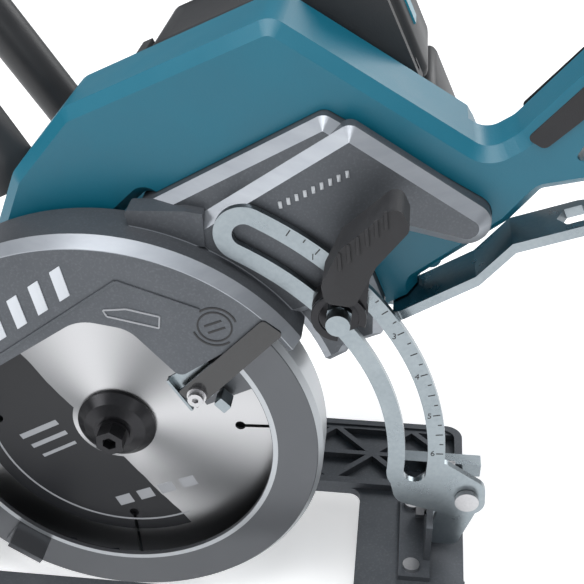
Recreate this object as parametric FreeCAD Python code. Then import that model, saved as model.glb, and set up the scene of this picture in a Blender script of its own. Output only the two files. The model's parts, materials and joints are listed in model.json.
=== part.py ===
import FreeCAD, Part
import math
import os

# Rear-handle cordless circular saw, blade on the left-hand side.
# Row frame: origin on the sole, in the blade's plane, under the front depth pivot.
# +X runs to the rear handle, +Y to the motor, +Z up. All sizes in millimetres.
# The saw head is drawn level, about its arbor, and then tipped up about the front pivot.

os.makedirs("parts", exist_ok=True)

# ---------------------------------------------------------------- driving sizes
blade_d = 185.0          # saw blade
blade_t = 1.45
max_depth = 66.0         # blade below the sole with the head fully down
rest_depth = 18.5        # blade below the sole in the modelled pose
pivot_reach = 112.0      # front pivot to arbor
running_gap = 0.05       # radial clearance of a shaft or boss that turns in a bore
seat_gap = 0.3           # clearance between faces that slide past each other

base_front = -30.0       # base plate
base_rear = 268.0
base_left = -48.0
base_right = 90.0
sole_t = 4.0
rib_top = 9.0
rib_t = 3.0
window_left = -35.0      # opening for blade and guard, wide enough for the bevel
window_right = 40.0
window_front = 12.0
window_rear = 216.0
bevel_max = 53.0         # degrees
front_slot_r = 55.0      # bevel slot radii about the line y = 0, z = 0
front_slot_start = 25.0
rear_slot_r = 24.0
rear_slot_start = 35.0
front_bracket_x = -18.3
rear_bracket_x = 249.0
bracket_t = 3.0
clamp_bolt_r = 3.0

guard_r = 108.0          # upper guard, a single casting with the gear case panel
guard_wall = 2.5
guard_face_y = -18.6
guard_back_y = 10.5
guard_bevel_w = 7.1      # bright bevel round the rim
guard_bevel_h = 3.0
guard_end_z = 20.0       # level of the guard's cut ends, above the arbor

low_guard_r = 98.0       # swinging lower guard
low_guard_wall = 2.0
low_guard_face_y = -13.3
low_guard_back_y = 6.4
low_guard_window_r = 75.0
low_guard_from = -172.0  # degrees about the arbor, in the level head
low_guard_span = 197.0

gear_module = 1.5        # spur gears
gear_teeth = 52
pinion_teeth = 10
gear_w = 8.0
motor_angle = 49.8       # motor axis, seen from the arbor
stator_r = 31.0
stator_len = 44.0
motor_wall = 3.0
motor_front_y = 34.0
motor_back_y = 116.0

spindle_r = 6.0
spindle_bearing_r = 16.0
spindle_bearing_w = 10.0
guard_boss_r = 24.0      # boss that the lower guard swings on
flange_r = 18.6
bolt_af = 12.0           # arbor bolt, across flats

shell_left_y = 14.0      # handle shells: blade side, joint and motor side
shell_joint_y = 30.0
shell_right_y = 60.0
shell_wall = 3.0
handle_half_w = 16.0

guide_hinge_x = 266.4    # depth guide hinge, in the row frame
guide_hinge_z = 46.0
guide_ratio = -0.45      # guide turn per degree of head swing
guide_y = -5.0
guide_t = 3.0
slot_w = 10.3
trigger_travel = 6.0
trigger_way = (-0.40, 0.917)   # into the grip, in the level head
shaft_lock_travel = 4.0
lock_x, lock_z = 279.0, 77.0   # lock-off button through the grip
shaft_lock_r = 29.7
shaft_lock_angle = 200.0
guide_arm_w = 7.8
depth_bolt_x = 127.2     # clamp bolt, in the level head
depth_bolt_z = 27.7
depth_bolt_r = 4.0
bush_r = 4.85

release_travel = 3.0
pack_len = 113.0         # slide-on battery packs
pack_w = 75.0
pack_h = 62.0
pack_x = 72.0
pack_z = 8.0
pack_pitch = 66.0
wrench_w = 22.0          # stored blade wrench
wrench_t = 4.5
wrench_y = 4.0
wrench_end = 238.0
wrench_drop = 12.0        # it unclips downwards
dock_y = 62.0

blade_r = blade_d / 2
pivot_h = blade_r - max_depth
arbor_h = blade_r - rest_depth
rest_tilt = math.degrees(math.asin((arbor_h - pivot_h) / pivot_reach))
zero_tilt = math.degrees(math.asin(max_depth / pivot_reach))
gear_pitch_r = gear_module * gear_teeth / 2
pinion_pitch_r = gear_module * pinion_teeth / 2
centre_distance = gear_pitch_r + pinion_pitch_r
motor_x = centre_distance * math.cos(math.radians(motor_angle))
motor_z = centre_distance * math.sin(math.radians(motor_angle))
motor_r = stator_r + 2.0 + motor_wall
case_back_y = 26.5       # back of the case panel, against the handle shells

V = FreeCAD.Vector
ORIGIN = V(0, 0, 0)
REAR_UP = V(0, -1, 0)    # a positive turn about this axis lifts the rear


# ---------------------------------------------------------------- drawing helpers
def box(x0, x1, y0, y1, z0, z1):
    return Part.makeBox(x1 - x0, y1 - y0, z1 - z0, V(x0, y0, z0))


def rod_y(x, z, r, y0, y1):
    return Part.makeCylinder(r, y1 - y0, V(x, y0, z), V(0, 1, 0))


def rod_x(y, z, r, x0, x1):
    return Part.makeCylinder(r, x1 - x0, V(x0, y, z), V(1, 0, 0))


def rod_z(x, y, r, z0, z1):
    return Part.makeCylinder(r, z1 - z0, V(x, y, z0), V(0, 0, 1))


def ring_y(x, z, r_out, r_in, y0, y1):
    return rod_y(x, z, r_out, y0, y1).cut(rod_y(x, z, r_in, y0 - 1, y1 + 1))


def fuse(*shapes):
    whole = shapes[0].multiFuse(list(shapes[1:])) if len(shapes) > 1 else shapes[0]
    return whole.removeSplitter()


def rounded_wire(points, place):
    """Closed outline of (u, v, corner radius), put into space by place(u, v)."""
    count = len(points)
    corners = []
    for i, (u, v, r) in enumerate(points):
        before = points[i - 1]
        after = points[(i + 1) % count]
        a = (before[0] - u, before[1] - v)
        b = (after[0] - u, after[1] - v)
        la, lb = math.hypot(*a), math.hypot(*b)
        a, b = (a[0] / la, a[1] / la), (b[0] / lb, b[1] / lb)
        if r <= 0:
            corners.append(((u, v), None, (u, v)))
            continue
        half = math.acos(max(-1.0, min(1.0, a[0] * b[0] + a[1] * b[1]))) / 2
        back = r / math.tan(half)
        mid = (a[0] + b[0], a[1] + b[1])
        lm = math.hypot(*mid)
        near = r / math.sin(half) - r
        corners.append(((u + a[0] * back, v + a[1] * back),
                        (u + mid[0] / lm * near, v + mid[1] / lm * near),
                        (u + b[0] * back, v + b[1] * back)))
    edges = []
    for i, (start, mid, end) in enumerate(corners):
        if mid is not None:
            edges.append(Part.Arc(place(*start), place(*mid), place(*end)).toShape())
        following = corners[(i + 1) % count][0]
        if math.hypot(following[0] - end[0], following[1] - end[1]) > 1e-6:
            edges.append(Part.makeLine(place(*end), place(*following)))
    return Part.Wire(edges)


def inset_points(points, distance):
    """The same outline moved inwards; the outline runs anticlockwise in (u, v)."""
    count = len(points)
    lines = []
    for i in range(count):
        u0, v0, _ = points[i]
        u1, v1, _ = points[(i + 1) % count]
        length = math.hypot(u1 - u0, v1 - v0)
        normal = (-(v1 - v0) / length, (u1 - u0) / length)
        lines.append((u0 + normal[0] * distance, v0 + normal[1] * distance,
                      (u1 - u0) / length, (v1 - v0) / length))
    moved = []
    for i in range(count):
        ax, ay, adx, ady = lines[i - 1]
        bx, by, bdx, bdy = lines[i]
        cross = adx * bdy - ady * bdx
        t = ((bx - ax) * bdy - (by - ay) * bdx) / cross
        radius = points[i][2]
        turn_out = cross < 0
        if radius > 0:
            radius = max(0.2, radius + (distance if turn_out else -distance))
        moved.append((ax + adx * t, ay + ady * t, radius))
    return moved


def at_y(y):
    return lambda u, v: V(u, y, v)


def at_z(z):
    return lambda u, v: V(u, v, z)


def at_x(x):
    return lambda u, v: V(x, u, v)


def prism_y(points, y0, y1):
    return Part.Face(rounded_wire(points, at_y(y0))).extrude(V(0, y1 - y0, 0))


def prism_z(points, z0, z1):
    return Part.Face(rounded_wire(points, at_z(z0))).extrude(V(0, 0, z1 - z0))


def prism_x(points, x0, x1):
    return Part.Face(rounded_wire(points, at_x(x0))).extrude(V(x1 - x0, 0, 0))


def raised_y(points, y_back, y_shoulder, y_face, inset):
    """A block on the Y side with a bevelled edge running down to its face."""
    shoulder = rounded_wire(points, at_y(y_shoulder))
    face = rounded_wire(inset_points(points, inset), at_y(y_face))
    bevel = Part.makeLoft([shoulder, face], True, True)
    return fuse(prism_y(points, min(y_back, y_shoulder), max(y_back, y_shoulder)), bevel)


def turned_y(profile):
    """Ring or disc from (radius, y) points turned about the arbor."""
    vectors = [V(r, y, 0) for r, y in profile]
    face = Part.Face(Part.makePolygon(vectors + [vectors[0]]))
    return face.revolve(ORIGIN, V(0, 1, 0), 360)


def hex_y(x, z, across_flats, y0, y1, turn=0.0):
    r = across_flats / 2 / math.cos(math.pi / 6)
    corners = [(x + r * math.cos(math.radians(60 * k + turn)),
                z + r * math.sin(math.radians(60 * k + turn)), 0)
               for k in range(6)]
    return prism_y(corners, y0, y1)


def hex_x(y, z, across_flats, x0, x1):
    r = across_flats / 2 / math.cos(math.pi / 6)
    corners = [(y + r * math.cos(math.radians(60 * k)), z + r * math.sin(math.radians(60 * k)), 0)
               for k in range(6)]
    return prism_x(corners, x0, x1)


def wedge(r, angle_from, angle_to, y0, y1):
    """Pie slice about the arbor, angles from the rear (+X) towards up (+Z)."""
    slices = max(2, int((angle_to - angle_from) / 30) + 1)
    reach = r / math.cos(math.radians((angle_to - angle_from) / slices / 2)) * 1.02
    points = [(0, 0, 0)]
    for i in range(slices + 1):
        a = math.radians(angle_from + (angle_to - angle_from) * i / slices)
        points.append((reach * math.cos(a), reach * math.sin(a), 0))
    return prism_y(points, y0, y1)


def spur_gear(teeth, module, y0, y1, bore_r, first_tooth):
    """Slim straight-flanked teeth, with play for a quiet mesh."""
    pitch = module * teeth / 2
    step = 2 * math.pi / teeth
    outline = []
    for k in range(teeth):
        a = math.radians(first_tooth) + k * step
        for radius, share in ((pitch - 1.2 * module, -0.32), (pitch, -0.20), (pitch + 0.9 * module, -0.09),
                              (pitch + 0.9 * module, 0.09), (pitch, 0.20), (pitch - 1.2 * module, 0.32)):
            outline.append((radius * math.cos(a + share * step), radius * math.sin(a + share * step), 0))
    return prism_y(outline, y0, y1).cut(rod_y(0, 0, bore_r, y0 - 1, y1 + 1))


def tip_up(shape, tilt=rest_tilt):
    """From the level head, drawn about the arbor, to the head tipped about the front pivot."""
    placed = shape.copy()
    placed.rotate(ORIGIN, REAR_UP, tilt)
    reach = pivot_reach
    placed.translate(V(reach * math.cos(math.radians(tilt)), 0,
                       pivot_h + reach * math.sin(math.radians(tilt))))
    return placed


def save(name, shape):
    print(name, "solids", len(shape.Solids), "valid", shape.isValid(), "volume", round(shape.Volume))
    shape.exportStep("parts/" + name + ".step")


# ---------------------------------------------------------------- base
def base_plate():
    outline = [(base_front, base_left, 14), (base_rear, base_left, 10), (base_rear + 2, base_right, 9),
               (base_front, base_right, 16)]
    inner = [(base_front + 4, base_left + 4, 11), (base_rear - 4, base_left + 4, 7),
             (base_rear - 2.3, base_right - 4, 6), (base_front + 4, base_right - 4, 12)]
    plate = prism_z(outline, 0, sole_t)
    rim = prism_z(outline, 0, rib_top).cut(prism_z(inner, -1, rib_top + 1))
    ribs = []
    field_left, field_right = window_right + 3, base_right - 5
    cell = (field_right - field_left) / 2
    for row in range(3):
        y = field_left + cell * row
        ribs.append(box(base_front + 26, base_rear - 3, y - rib_t / 2, y + rib_t / 2, 1, rib_top - 1))
    columns = int((base_rear - base_front - 34) / (2 * cell))
    for i in range(columns):
        x = base_rear - 5 - 2 * cell * i
        for sign in (-1, 1):
            for row in range(2):
                x0 = x if sign > 0 else x - 2 * cell
                y0 = field_left + cell * row
                length = math.hypot(cell, cell)
                bar = box(0, length, -rib_t / 2, rib_t / 2, 1, rib_top - 1)
                lead = 45 if (row == 0) == (sign > 0) else -45
                start_y = y0 if lead > 0 else y0 + cell
                start_x = x - cell if sign > 0 else x - 2 * cell
                bar.rotate(ORIGIN, V(0, 0, 1), lead)
                bar.translate(V(start_x, start_y, 0))
                ribs.append(bar)
    ribs.append(box(base_front + 24, base_rear - 3, window_right, window_right + rib_t, 1, rib_top - 1))
    lattice = ribs[0].multiFuse(ribs[1:]).common(prism_z(outline, 0, rib_top))
    window = prism_z([(window_front, window_left, 6), (window_rear, window_left, 6),
                      (window_rear, window_right, 6), (window_front, window_right, 6)], -1, rib_top + 1)
    left_relief = box(window_front - 1, window_rear + 1, base_left - 1, window_left, sole_t, rib_top + 1)
    bracket_flats = fuse(box(base_front - 1, window_front, -20, 88, sole_t, rib_top + 1),
                         box(window_rear, base_rear + 4, -22, 36, sole_t, rib_top + 1))
    collar_x = pivot_reach   # the spindle collar comes down here at full depth
    collar_relief = box(collar_x - 26, collar_x + 26, window_right - 1, window_right + 6, sole_t, rib_top + 1)
    plate = plate.fuse(rim).fuse(lattice).cut(window).cut(left_relief).cut(bracket_flats).cut(collar_relief)
    for x, y in base_screw_places():
        plate = plate.cut(rod_z(x, y, 2.0, -1, sole_t + 1))
    plate = plate.cut(stop_bar_shape(0.0))
    return plate.removeSplitter()


def base_screw_places():
    front_x, rear_x = front_bracket_x - 5.7, rear_bracket_x - 6
    return [(front_x, -4), (front_x, 60), (rear_x, -14), (rear_x, 28)]


def stop_bar_shape(grow):
    return box(232, base_rear + 11, 56 - grow, 64 + grow, sole_t, sole_t + 8)


def base_screws():
    screws = [fuse(rod_z(x, y, 2.0, 0.5, sole_t + 3), rod_z(x, y, 4.0, sole_t + 3, sole_t + 5.2))
              for x, y in base_screw_places()]
    return Part.makeCompound(screws)


def quadrant(x0, x1, slot_r, start, reach, screw_x, screws):
    """Upright plate with the arc slot for a bevel clamp, and a foot screwed to the base."""
    plate = rod_x(0, 0, slot_r + reach, x0, x1).common(box(x0, x1, -9, 100, sole_t, 100))
    slot = rod_x(0, 0, slot_r + clamp_bolt_r + 0.3, x0 - 1, x1 + 1).cut(
        rod_x(0, 0, slot_r - clamp_bolt_r - 0.3, x0 - 2, x1 + 2))
    sector = [(0, 0, 0)]
    for k in range(5):
        a = math.radians(start + bevel_max * k / 4)
        sector.append((2 * slot_r * math.cos(a), 2 * slot_r * math.sin(a), 0))
    slot = slot.common(prism_x(sector, x0 - 1, x1 + 1))
    for a in (start, start + bevel_max):
        slot = slot.fuse(rod_x(slot_r * math.cos(math.radians(a)), slot_r * math.sin(math.radians(a)),
                               clamp_bolt_r + 0.3, x0 - 1, x1 + 1))
    y_end = slot_r + reach - 2
    foot = box(x0 - 12, x1, screws[0] - 6, min(screws[1] + 6, y_end + 6), sole_t, sole_t + 3)
    plate = plate.fuse(foot).cut(slot)
    for y in screws:
        plate = plate.cut(rod_z(screw_x, y, 2.0, 0, sole_t + 4))
    return plate.removeSplitter()


def front_bracket():
    return quadrant(front_bracket_x, front_bracket_x + bracket_t, front_slot_r, front_slot_start, 9,
                    front_bracket_x - 5.7, (-4, 60))


def rear_bracket():
    return quadrant(rear_bracket_x, rear_bracket_x + bracket_t, rear_slot_r, rear_slot_start, 6,
                    rear_bracket_x - 6, (-14, 28))


# ---------------------------------------------------------------- bevel carriage
def slot_point(radius, start):
    a = math.radians(start)
    return radius * math.cos(a), radius * math.sin(a)


def front_carriage():
    by, bz = slot_point(front_slot_r, front_slot_start)
    plate_x = front_bracket_x + bracket_t + seat_gap
    plate = prism_x([(8, 14, 3), (by + 2, 14, 6), (by + 9, bz - 2, 8), (by + 4, bz + 11, 8), (38, 38, 5),
                     (8, 38, 5)],
                    plate_x, plate_x + bracket_t)
    ears = []
    for y0 in (11.0, 31.2):
        ear = fuse(rod_y(0, pivot_h, 8.5, y0, y0 + 4), box(-13, 0, y0, y0 + 4, pivot_h - 8.5, pivot_h + 8.5))
        ears.append(ear)
    body = plate.fuse(ears[0]).fuse(ears[1])
    body = body.cut(rod_y(0, pivot_h, 4.0, 0, 60)).cut(rod_x(by, bz, clamp_bolt_r, -30, 0))
    return body.removeSplitter()


def rear_carriage():
    by, bz = slot_point(rear_slot_r, rear_slot_start)
    plate_x = rear_bracket_x + bracket_t + seat_gap
    cross = prism_x([(-1.7, 12, 1), (by - 6, 9, 3), (by + 6, 9, 4), (by + 7, bz + 7, 5), (-1.7, 24, 1)],
                    plate_x, plate_x + bracket_t)
    ear = prism_y([(plate_x, 12, 1), (plate_x + 12, 12, 4), (guide_hinge_x + 8, guide_hinge_z - 4, 5),
                   (guide_hinge_x + 6, guide_hinge_z + 8, 6), (guide_hinge_x - 8, guide_hinge_z + 6, 5),
                   (plate_x, 26, 4)], -1.7, 2.3)
    body = cross.fuse(ear).cut(rod_y(guide_hinge_x, guide_hinge_z, 3.0, -10, 10))
    return body.cut(rod_x(by, bz, clamp_bolt_r, 230, 270)).removeSplitter()


def depth_pivot_pin():
    return fuse(rod_y(0, pivot_h, 4.0, 11.0, 36.4), rod_y(0, pivot_h, 5.5, 35.2, 37.0))


def guide_pin():
    return fuse(rod_y(guide_hinge_x, guide_hinge_z, 3.0, guide_y - 1.0, 2.3),
                rod_y(guide_hinge_x, guide_hinge_z, 5.5, guide_y - 3.0, guide_y - seat_gap),
                rod_y(guide_hinge_x, guide_hinge_z, 5.0, 2.3, wrench_y - 0.4))


def clamp_bolts():
    fy, fz = slot_point(front_slot_r, front_slot_start)
    ry, rz = slot_point(rear_slot_r, rear_slot_start)
    front_x = front_bracket_x + 2 * bracket_t + seat_gap
    rear_x = rear_bracket_x - seat_gap
    front = fuse(rod_x(fy, fz, clamp_bolt_r, front_bracket_x - 11.6, front_x), hex_x(fy, fz, 10, front_x,
                                                                                     front_x + 4))
    rear = fuse(rod_x(ry, rz, clamp_bolt_r, rear_x, rear_bracket_x + 2 * bracket_t + 11.6),
                hex_x(ry, rz, 9, rear_x - 4, rear_x))
    return Part.makeCompound([front, rear])


def clamp_lever(y, z, x_near, x_far, hub_r, length, angle):
    """Wing lever on a clamp bolt, flat against its quadrant."""
    lo, hi = min(x_near, x_far), max(x_near, x_far)
    hub = rod_x(y, z, hub_r, lo, hi)
    thin = box(lo + 1.5, hi - 1.5, 0, length, -5.5, 5.5)
    tip = rod_x(length, 0, 5.5, lo + 1.5, hi - 1.5)
    arm = thin.fuse(tip)
    arm.rotate(ORIGIN, V(1, 0, 0), angle)
    arm.translate(V(0, y, z))
    return fuse(hub, arm).cut(rod_x(y, z, clamp_bolt_r + running_gap, lo - 1, hi + 1)).removeSplitter()


def front_bevel_lever():
    y, z = slot_point(front_slot_r, front_slot_start)
    return clamp_lever(y, z, front_bracket_x - seat_gap, front_bracket_x - 10.3, 8.0, 38, 10)


def rear_bevel_lever():
    y, z = slot_point(rear_slot_r, rear_slot_start)
    near = rear_bracket_x + 2 * bracket_t + 2 * seat_gap
    return clamp_lever(y, z, near, near + 10, 6.0, 24, 10)


# ---------------------------------------------------------------- depth guide
def guide_centre(swing):
    """Where the clamp bolt runs in the guide at a head swing, counted from rest, in degrees."""
    tilt = math.radians(rest_tilt + swing)
    bx = (pivot_reach + depth_bolt_x) * math.cos(tilt) - depth_bolt_z * math.sin(tilt)
    bz = pivot_h + (pivot_reach + depth_bolt_x) * math.sin(tilt) + depth_bolt_z * math.cos(tilt)
    back = math.radians(-guide_ratio * swing)
    dx, dz = bx - guide_hinge_x, bz - guide_hinge_z
    return (guide_hinge_x + dx * math.cos(back) - dz * math.sin(back),
            guide_hinge_z + dx * math.sin(back) + dz * math.cos(back))


def guide_band(half_width, low, high, y0, y1):
    """A band of the given half width along the bolt's path, with round ends."""
    steps = 9
    path = [guide_centre(low + (high - low) * k / steps) for k in range(steps + 1)]
    left, right = [], []
    for k, (x, z) in enumerate(path):
        x0, z0 = path[max(0, k - 1)]
        x1, z1 = path[min(steps, k + 1)]
        length = math.hypot(x1 - x0, z1 - z0)
        nx, nz = -(z1 - z0) / length, (x1 - x0) / length
        left.append(V(x + nx * half_width, y0, z + nz * half_width))
        right.append(V(x - nx * half_width, y0, z - nz * half_width))
    sides = []
    for row in (left, right[::-1]):
        curve = Part.BSplineCurve()
        curve.interpolate(row)
        sides.append(curve.toShape())
    ends = [Part.makeLine(left[-1], right[-1]), Part.makeLine(right[0], left[0])]
    band = Part.Face(Part.Wire([sides[0], ends[0], sides[1], ends[1]])).extrude(V(0, y1 - y0, 0))
    caps = [rod_y(x, z, half_width, y0, y1) for x, z in (path[0], path[-1])]
    return band.fuse(caps[0]).fuse(caps[1]).removeSplitter()


def depth_guide():
    low, high = -rest_tilt, zero_tilt - rest_tilt
    y0, y1 = guide_y, guide_y + guide_t
    plate = guide_band(slot_w / 2 + guide_arm_w, low, high, y0, y1)
    ex, ez = guide_centre(low)
    hx, hz = guide_hinge_x, guide_hinge_z
    foot = prism_y([(ex - 12.5, ez, 4), (ex - 8, hz - 5, 8), (hx - 4, hz - 12, 8), (hx + 9, hz - 8, 8),
                    (hx + 8, hz + 8, 7), (ex + 12.5, ez + 8, 6)], y0, y1)
    slot = guide_band(slot_w / 2, low, high, y0 - 1, y1 + 1)
    body = plate.fuse(foot).cut(slot).cut(rod_y(hx, hz, 3.0 + running_gap, y0 - 1, y1 + 1))
    return body.removeSplitter()


# ---------------------------------------------------------------- upper guard and case panel
low_outline = [(66, 20, 6), (94, 4, 3), (96, -9.5, 3), (114, -6.5, 3), (118, -3, 2), (133, -3, 3), (139.5,
                                                                                                    12, 4),
               (141, 40, 5), (160, 44, 4), (184, 26.5, 8), (202, 31, 9), (151, 101.5, 5), (60, 93, 3)]
top_outline = [(84, 24, 4), (134, 22, 6), (140, 44, 5), (161, 45.5, 4), (184, 28, 9), (201.5, 32, 9),
               (160, 96, 5), (78, 80.5, 3)]


def blade_case():
    w = guard_wall
    shoulder_y = guard_face_y + guard_bevel_w
    shell = turned_y([(0, guard_back_y), (guard_r, guard_back_y), (guard_r, shoulder_y),
                      (guard_r - guard_bevel_h, guard_face_y), (0, guard_face_y), (0, guard_face_y + w),
                      (guard_r - guard_bevel_h - w * 0.7, guard_face_y + w), (guard_r - w,
                                                                              shoulder_y + w * 0.3),
                      (guard_r - w, guard_back_y - w), (0, guard_back_y - w)])
    far = guard_r + 10
    keep_r = 56.0
    lower_front = box(-far, far, guard_face_y - 1, -2, -far, guard_end_z)
    lower_rear = box(0, far, -3, guard_back_y + 1, -far, guard_end_z).cut(rod_y(0, 0, keep_r, -4,
                                                                                guard_back_y + 2))
    lower_lead = box(-far, 0, -3, guard_back_y + 1, -far, -9).cut(rod_y(0, 0, keep_r, -4, guard_back_y + 2))
    face_window = prism_y([(-86, guard_end_z - 2, 0), (104, guard_end_z - 2, 0), (104, 35, 0), (51, 24, 4),
                           (42, 54, 14), (24, 66, 18), (-22, 57.5, 20), (-66, 47, 12)],
                          guard_face_y - 1, guard_face_y + w + 1).common(
                              rod_y(0, 0, guard_r - 5.2, guard_face_y - 2, guard_face_y + w + 2))
    shell = shell.cut(lower_front).cut(lower_rear).cut(lower_lead).cut(face_window)
    low = raised_y(low_outline, case_back_y, 9.0, 4.0, 4.5)
    top = raised_y(top_outline, 10.0, 4.0, -1.0, 5.0)
    outside = rod_y(0, 0, guard_r - w, -30, case_back_y + 1)
    wedge_block = prism_y([(58, 84, 0), (84, 70, 0), (90, 84, 0), (84, 88, 2), (60, 98, 2)],
                          guide_y + guide_t + seat_gap, 9)
    panel = fuse(low, top, wedge_block).cut(outside)
    hollow_low = prism_y(inset_points(low_outline, 3.5 + 4.0), 7.5, case_back_y + 1)
    hollow_top = prism_y(inset_points(top_outline, 8.5), 2.0, 8.0)
    gear_room = rod_y(0, 0, gear_room_r() + seat_gap, guard_back_y, case_back_y + 1)
    panel = panel.cut(hollow_low).cut(hollow_top).cut(gear_room).fuse(rod_y(depth_bolt_x, depth_bolt_z,
                                                                            8.0, -1, 9))
    lug_y0, lug_y1 = 15.3, 30.9
    lug = rod_y(-pivot_reach, 0, 8.5, lug_y0, lug_y1)
    arm = prism_y([(-pivot_reach, -8.5, 0), (-60, -8.5, 0), (-50, 8.5, 0), (-pivot_reach, 8.5, 0)],
                  lug_y0, lug_y1)
    seat = box(-101, -58, guard_back_y - 1, lug_y0 + 1, -8.5, 8.5)
    lug_group = fuse(lug, arm, seat).cut(rod_y(0, 0, gear_room_r() + seat_gap, guard_back_y, 40))
    body = shell.fuse(panel).fuse(lug_group)
    body = body.cut(rod_y(-pivot_reach, 0, 4.0 + running_gap, 0, 60))
    body = body.cut(rod_y(0, 0, guard_boss_r, -5, 20))
    body = body.cut(rod_y(depth_bolt_x, depth_bolt_z, depth_bolt_r, -5, 6))
    for x, z in case_screw_places():
        body = body.cut(rod_y(x, z, 2.0, guard_back_y - 4, guard_back_y + 2))
    return body.removeSplitter()


def gear_room_r():
    return gear_pitch_r + gear_module + 6.0


def case_screw_places():
    return [(34 * math.cos(math.radians(a)), 34 * math.sin(math.radians(a))) for a in (20, 140, 260)]


def case_screws():
    screws = [fuse(rod_y(x, z, 2.0, guard_back_y - guard_wall, guard_back_y + 3),
                   rod_y(x, z, 3.0, guard_back_y - guard_wall - 0.9, guard_back_y - guard_wall))
              for x, z in case_screw_places()]
    return Part.makeCompound(screws)


def deflector_plate():
    plate = prism_y([(47, 17.6, 1), (50.5, 6.8, 1), (103, 29, 2), (98, 38.5, 2)], guard_face_y - 1.2,
                    guard_face_y)
    return plate.cut(rod_y(54, 13.5, 2.0, guard_face_y - 3, guard_face_y + 1))


def deflector_bracket():
    behind = guard_face_y + guard_wall
    strap = prism_y([(45, 24, 1), (47.5, 5.5, 1), (59, 8.5, 1), (66, 28.5, 1)], behind, behind + 1.0)
    spacer = rod_y(54, 13.5, 4.0, guard_face_y, behind)
    hook = prism_y([(44, 24, 0.5), (46.5, 5.5, 0.5), (47.7, 5.7, 0), (45.2, 24.2, 0)], guard_face_y,
                   behind + 1.0)
    tab = prism_y([(60, 8, 0.5), (62, 2, 0.5), (66.5, 4, 0.5), (64.5, 10, 0.5)], guard_face_y - 4,
                  behind + 1.0)
    return fuse(strap, spacer, hook, tab).cut(rod_y(54, 13.5, 2.0, guard_face_y - 3, guard_face_y + 9))


def deflector_screw():
    y = guard_face_y - 1.2
    head = rod_y(54, 13.5, 3.4, y - 4.2, y - 1.2).cut(hex_y(54, 13.5, 2.6, y - 4.3, y - 2.4))
    washer = rod_y(54, 13.5, 4.3, y - 1.2, y)
    return fuse(head, washer, rod_y(54, 13.5, 2.0, y, y + 3.2))


# ---------------------------------------------------------------- lower guard
def lower_guard():
    w = low_guard_wall
    shell = turned_y([(guard_boss_r + running_gap, low_guard_back_y), (low_guard_r, low_guard_back_y),
                      (low_guard_r, low_guard_face_y + 3), (low_guard_r - 2.5, low_guard_face_y),
                      (low_guard_window_r, low_guard_face_y), (low_guard_window_r, low_guard_face_y + w),
                      (low_guard_r - 2.5 - w * 0.6, low_guard_face_y + w), (low_guard_r - w,
                                                                            low_guard_face_y + 4),
                      (low_guard_r - w, low_guard_back_y - w), (guard_boss_r + running_gap,
                                                                low_guard_back_y - w)])
    arc = wedge(low_guard_r + 4, low_guard_from, low_guard_from + low_guard_span, low_guard_face_y - 1,
                low_guard_back_y + 1)
    hub = ring_y(0, 0, guard_boss_r + 9, guard_boss_r + running_gap, low_guard_back_y - w, low_guard_back_y)
    shell = shell.common(arc).fuse(hub)
    filler_angle = low_guard_from + low_guard_span
    lobe = turned_y([(52, low_guard_face_y), (low_guard_window_r + 1, low_guard_face_y),
                     (low_guard_window_r + 1, low_guard_face_y + w), (52, low_guard_face_y + w)])
    lobe = lobe.common(wedge(low_guard_r + 4, filler_angle - 22, filler_angle, low_guard_face_y - 1, 0))
    return shell.fuse(lobe).removeSplitter()


def guard_lever():
    tab = box(-9, 9, -27, low_guard_face_y, 78, 81)
    foot = box(-9, 9, low_guard_face_y - 1.5, low_guard_face_y, 78, 92)
    lever = fuse(tab, foot)
    lever.rotate(ORIGIN, REAR_UP, -150 - 90)
    return lever


def guard_spring():
    return ring_y(0, 0, guard_boss_r + 4.5, guard_boss_r + 3.0, 6.7, 7.7)


# ---------------------------------------------------------------- blade and spindle
def saw_blade():
    teeth = 24
    gullet = blade_r - 7.0
    body = []
    for k in range(teeth):
        a = 2 * math.pi * k / teeth
        step = 2 * math.pi / teeth
        for radius, share in ((gullet, 0.0), (gullet + 1.5, 0.22), (blade_r - 1.2, 0.62), (blade_r, 0.93),
                              (gullet + 2.0, 0.96)):
            body.append((radius * math.cos(-a - share * step), radius * math.sin(-a - share * step), 0))
    plate = prism_y(body, -blade_t / 2, blade_t / 2)
    plate = plate.cut(rod_y(0, 0, 15.0, -2, 2))
    for k in range(4):
        slot = fuse(box(blade_r - 34, blade_r + 2, -2, 2, -0.9, 0.9), rod_y(blade_r - 34, 0, 2.4, -2, 2))
        slot.rotate(ORIGIN, V(0, 1, 0), 90 * k + 22)
        plate = plate.cut(slot)
    return plate


def inner_flange():
    y0 = -blade_t / 2
    disc = turned_y([(spindle_r, y0), (15.0 - running_gap, y0), (15.0 - running_gap, -y0), (flange_r, -y0),
                     (flange_r, 3.4), (11.0, 4.4), (11.0, 7.6), (spindle_r, 7.6)])
    return disc


def outer_flange():
    y0 = -blade_t / 2
    return turned_y([(4.0, y0), (flange_r, y0), (flange_r, y0 - 1.6), (14.5, y0 - 5.2), (9.5, y0 - 7.4),
                     (4.0, y0 - 7.4)])


def arbor_bolt():
    y0 = -blade_t / 2 - 7.4
    washer = rod_y(0, 0, 7.6, y0 - 1.4, y0)
    head = hex_y(0, 0, bolt_af, y0 - 8.4, y0 - 1.4).cut(hex_y(0, 0, 6.0, y0 - 8.6, y0 - 4.0))
    return fuse(washer, head, rod_y(0, 0, 4.0, y0, 12))


def spindle():
    shaft = fuse(rod_y(0, 0, spindle_r, -blade_t / 2, 31), rod_y(0, 0, 5.0, 31, 38))
    return shaft.cut(rod_y(0, 0, 4.0, -2, 12.0))


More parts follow.
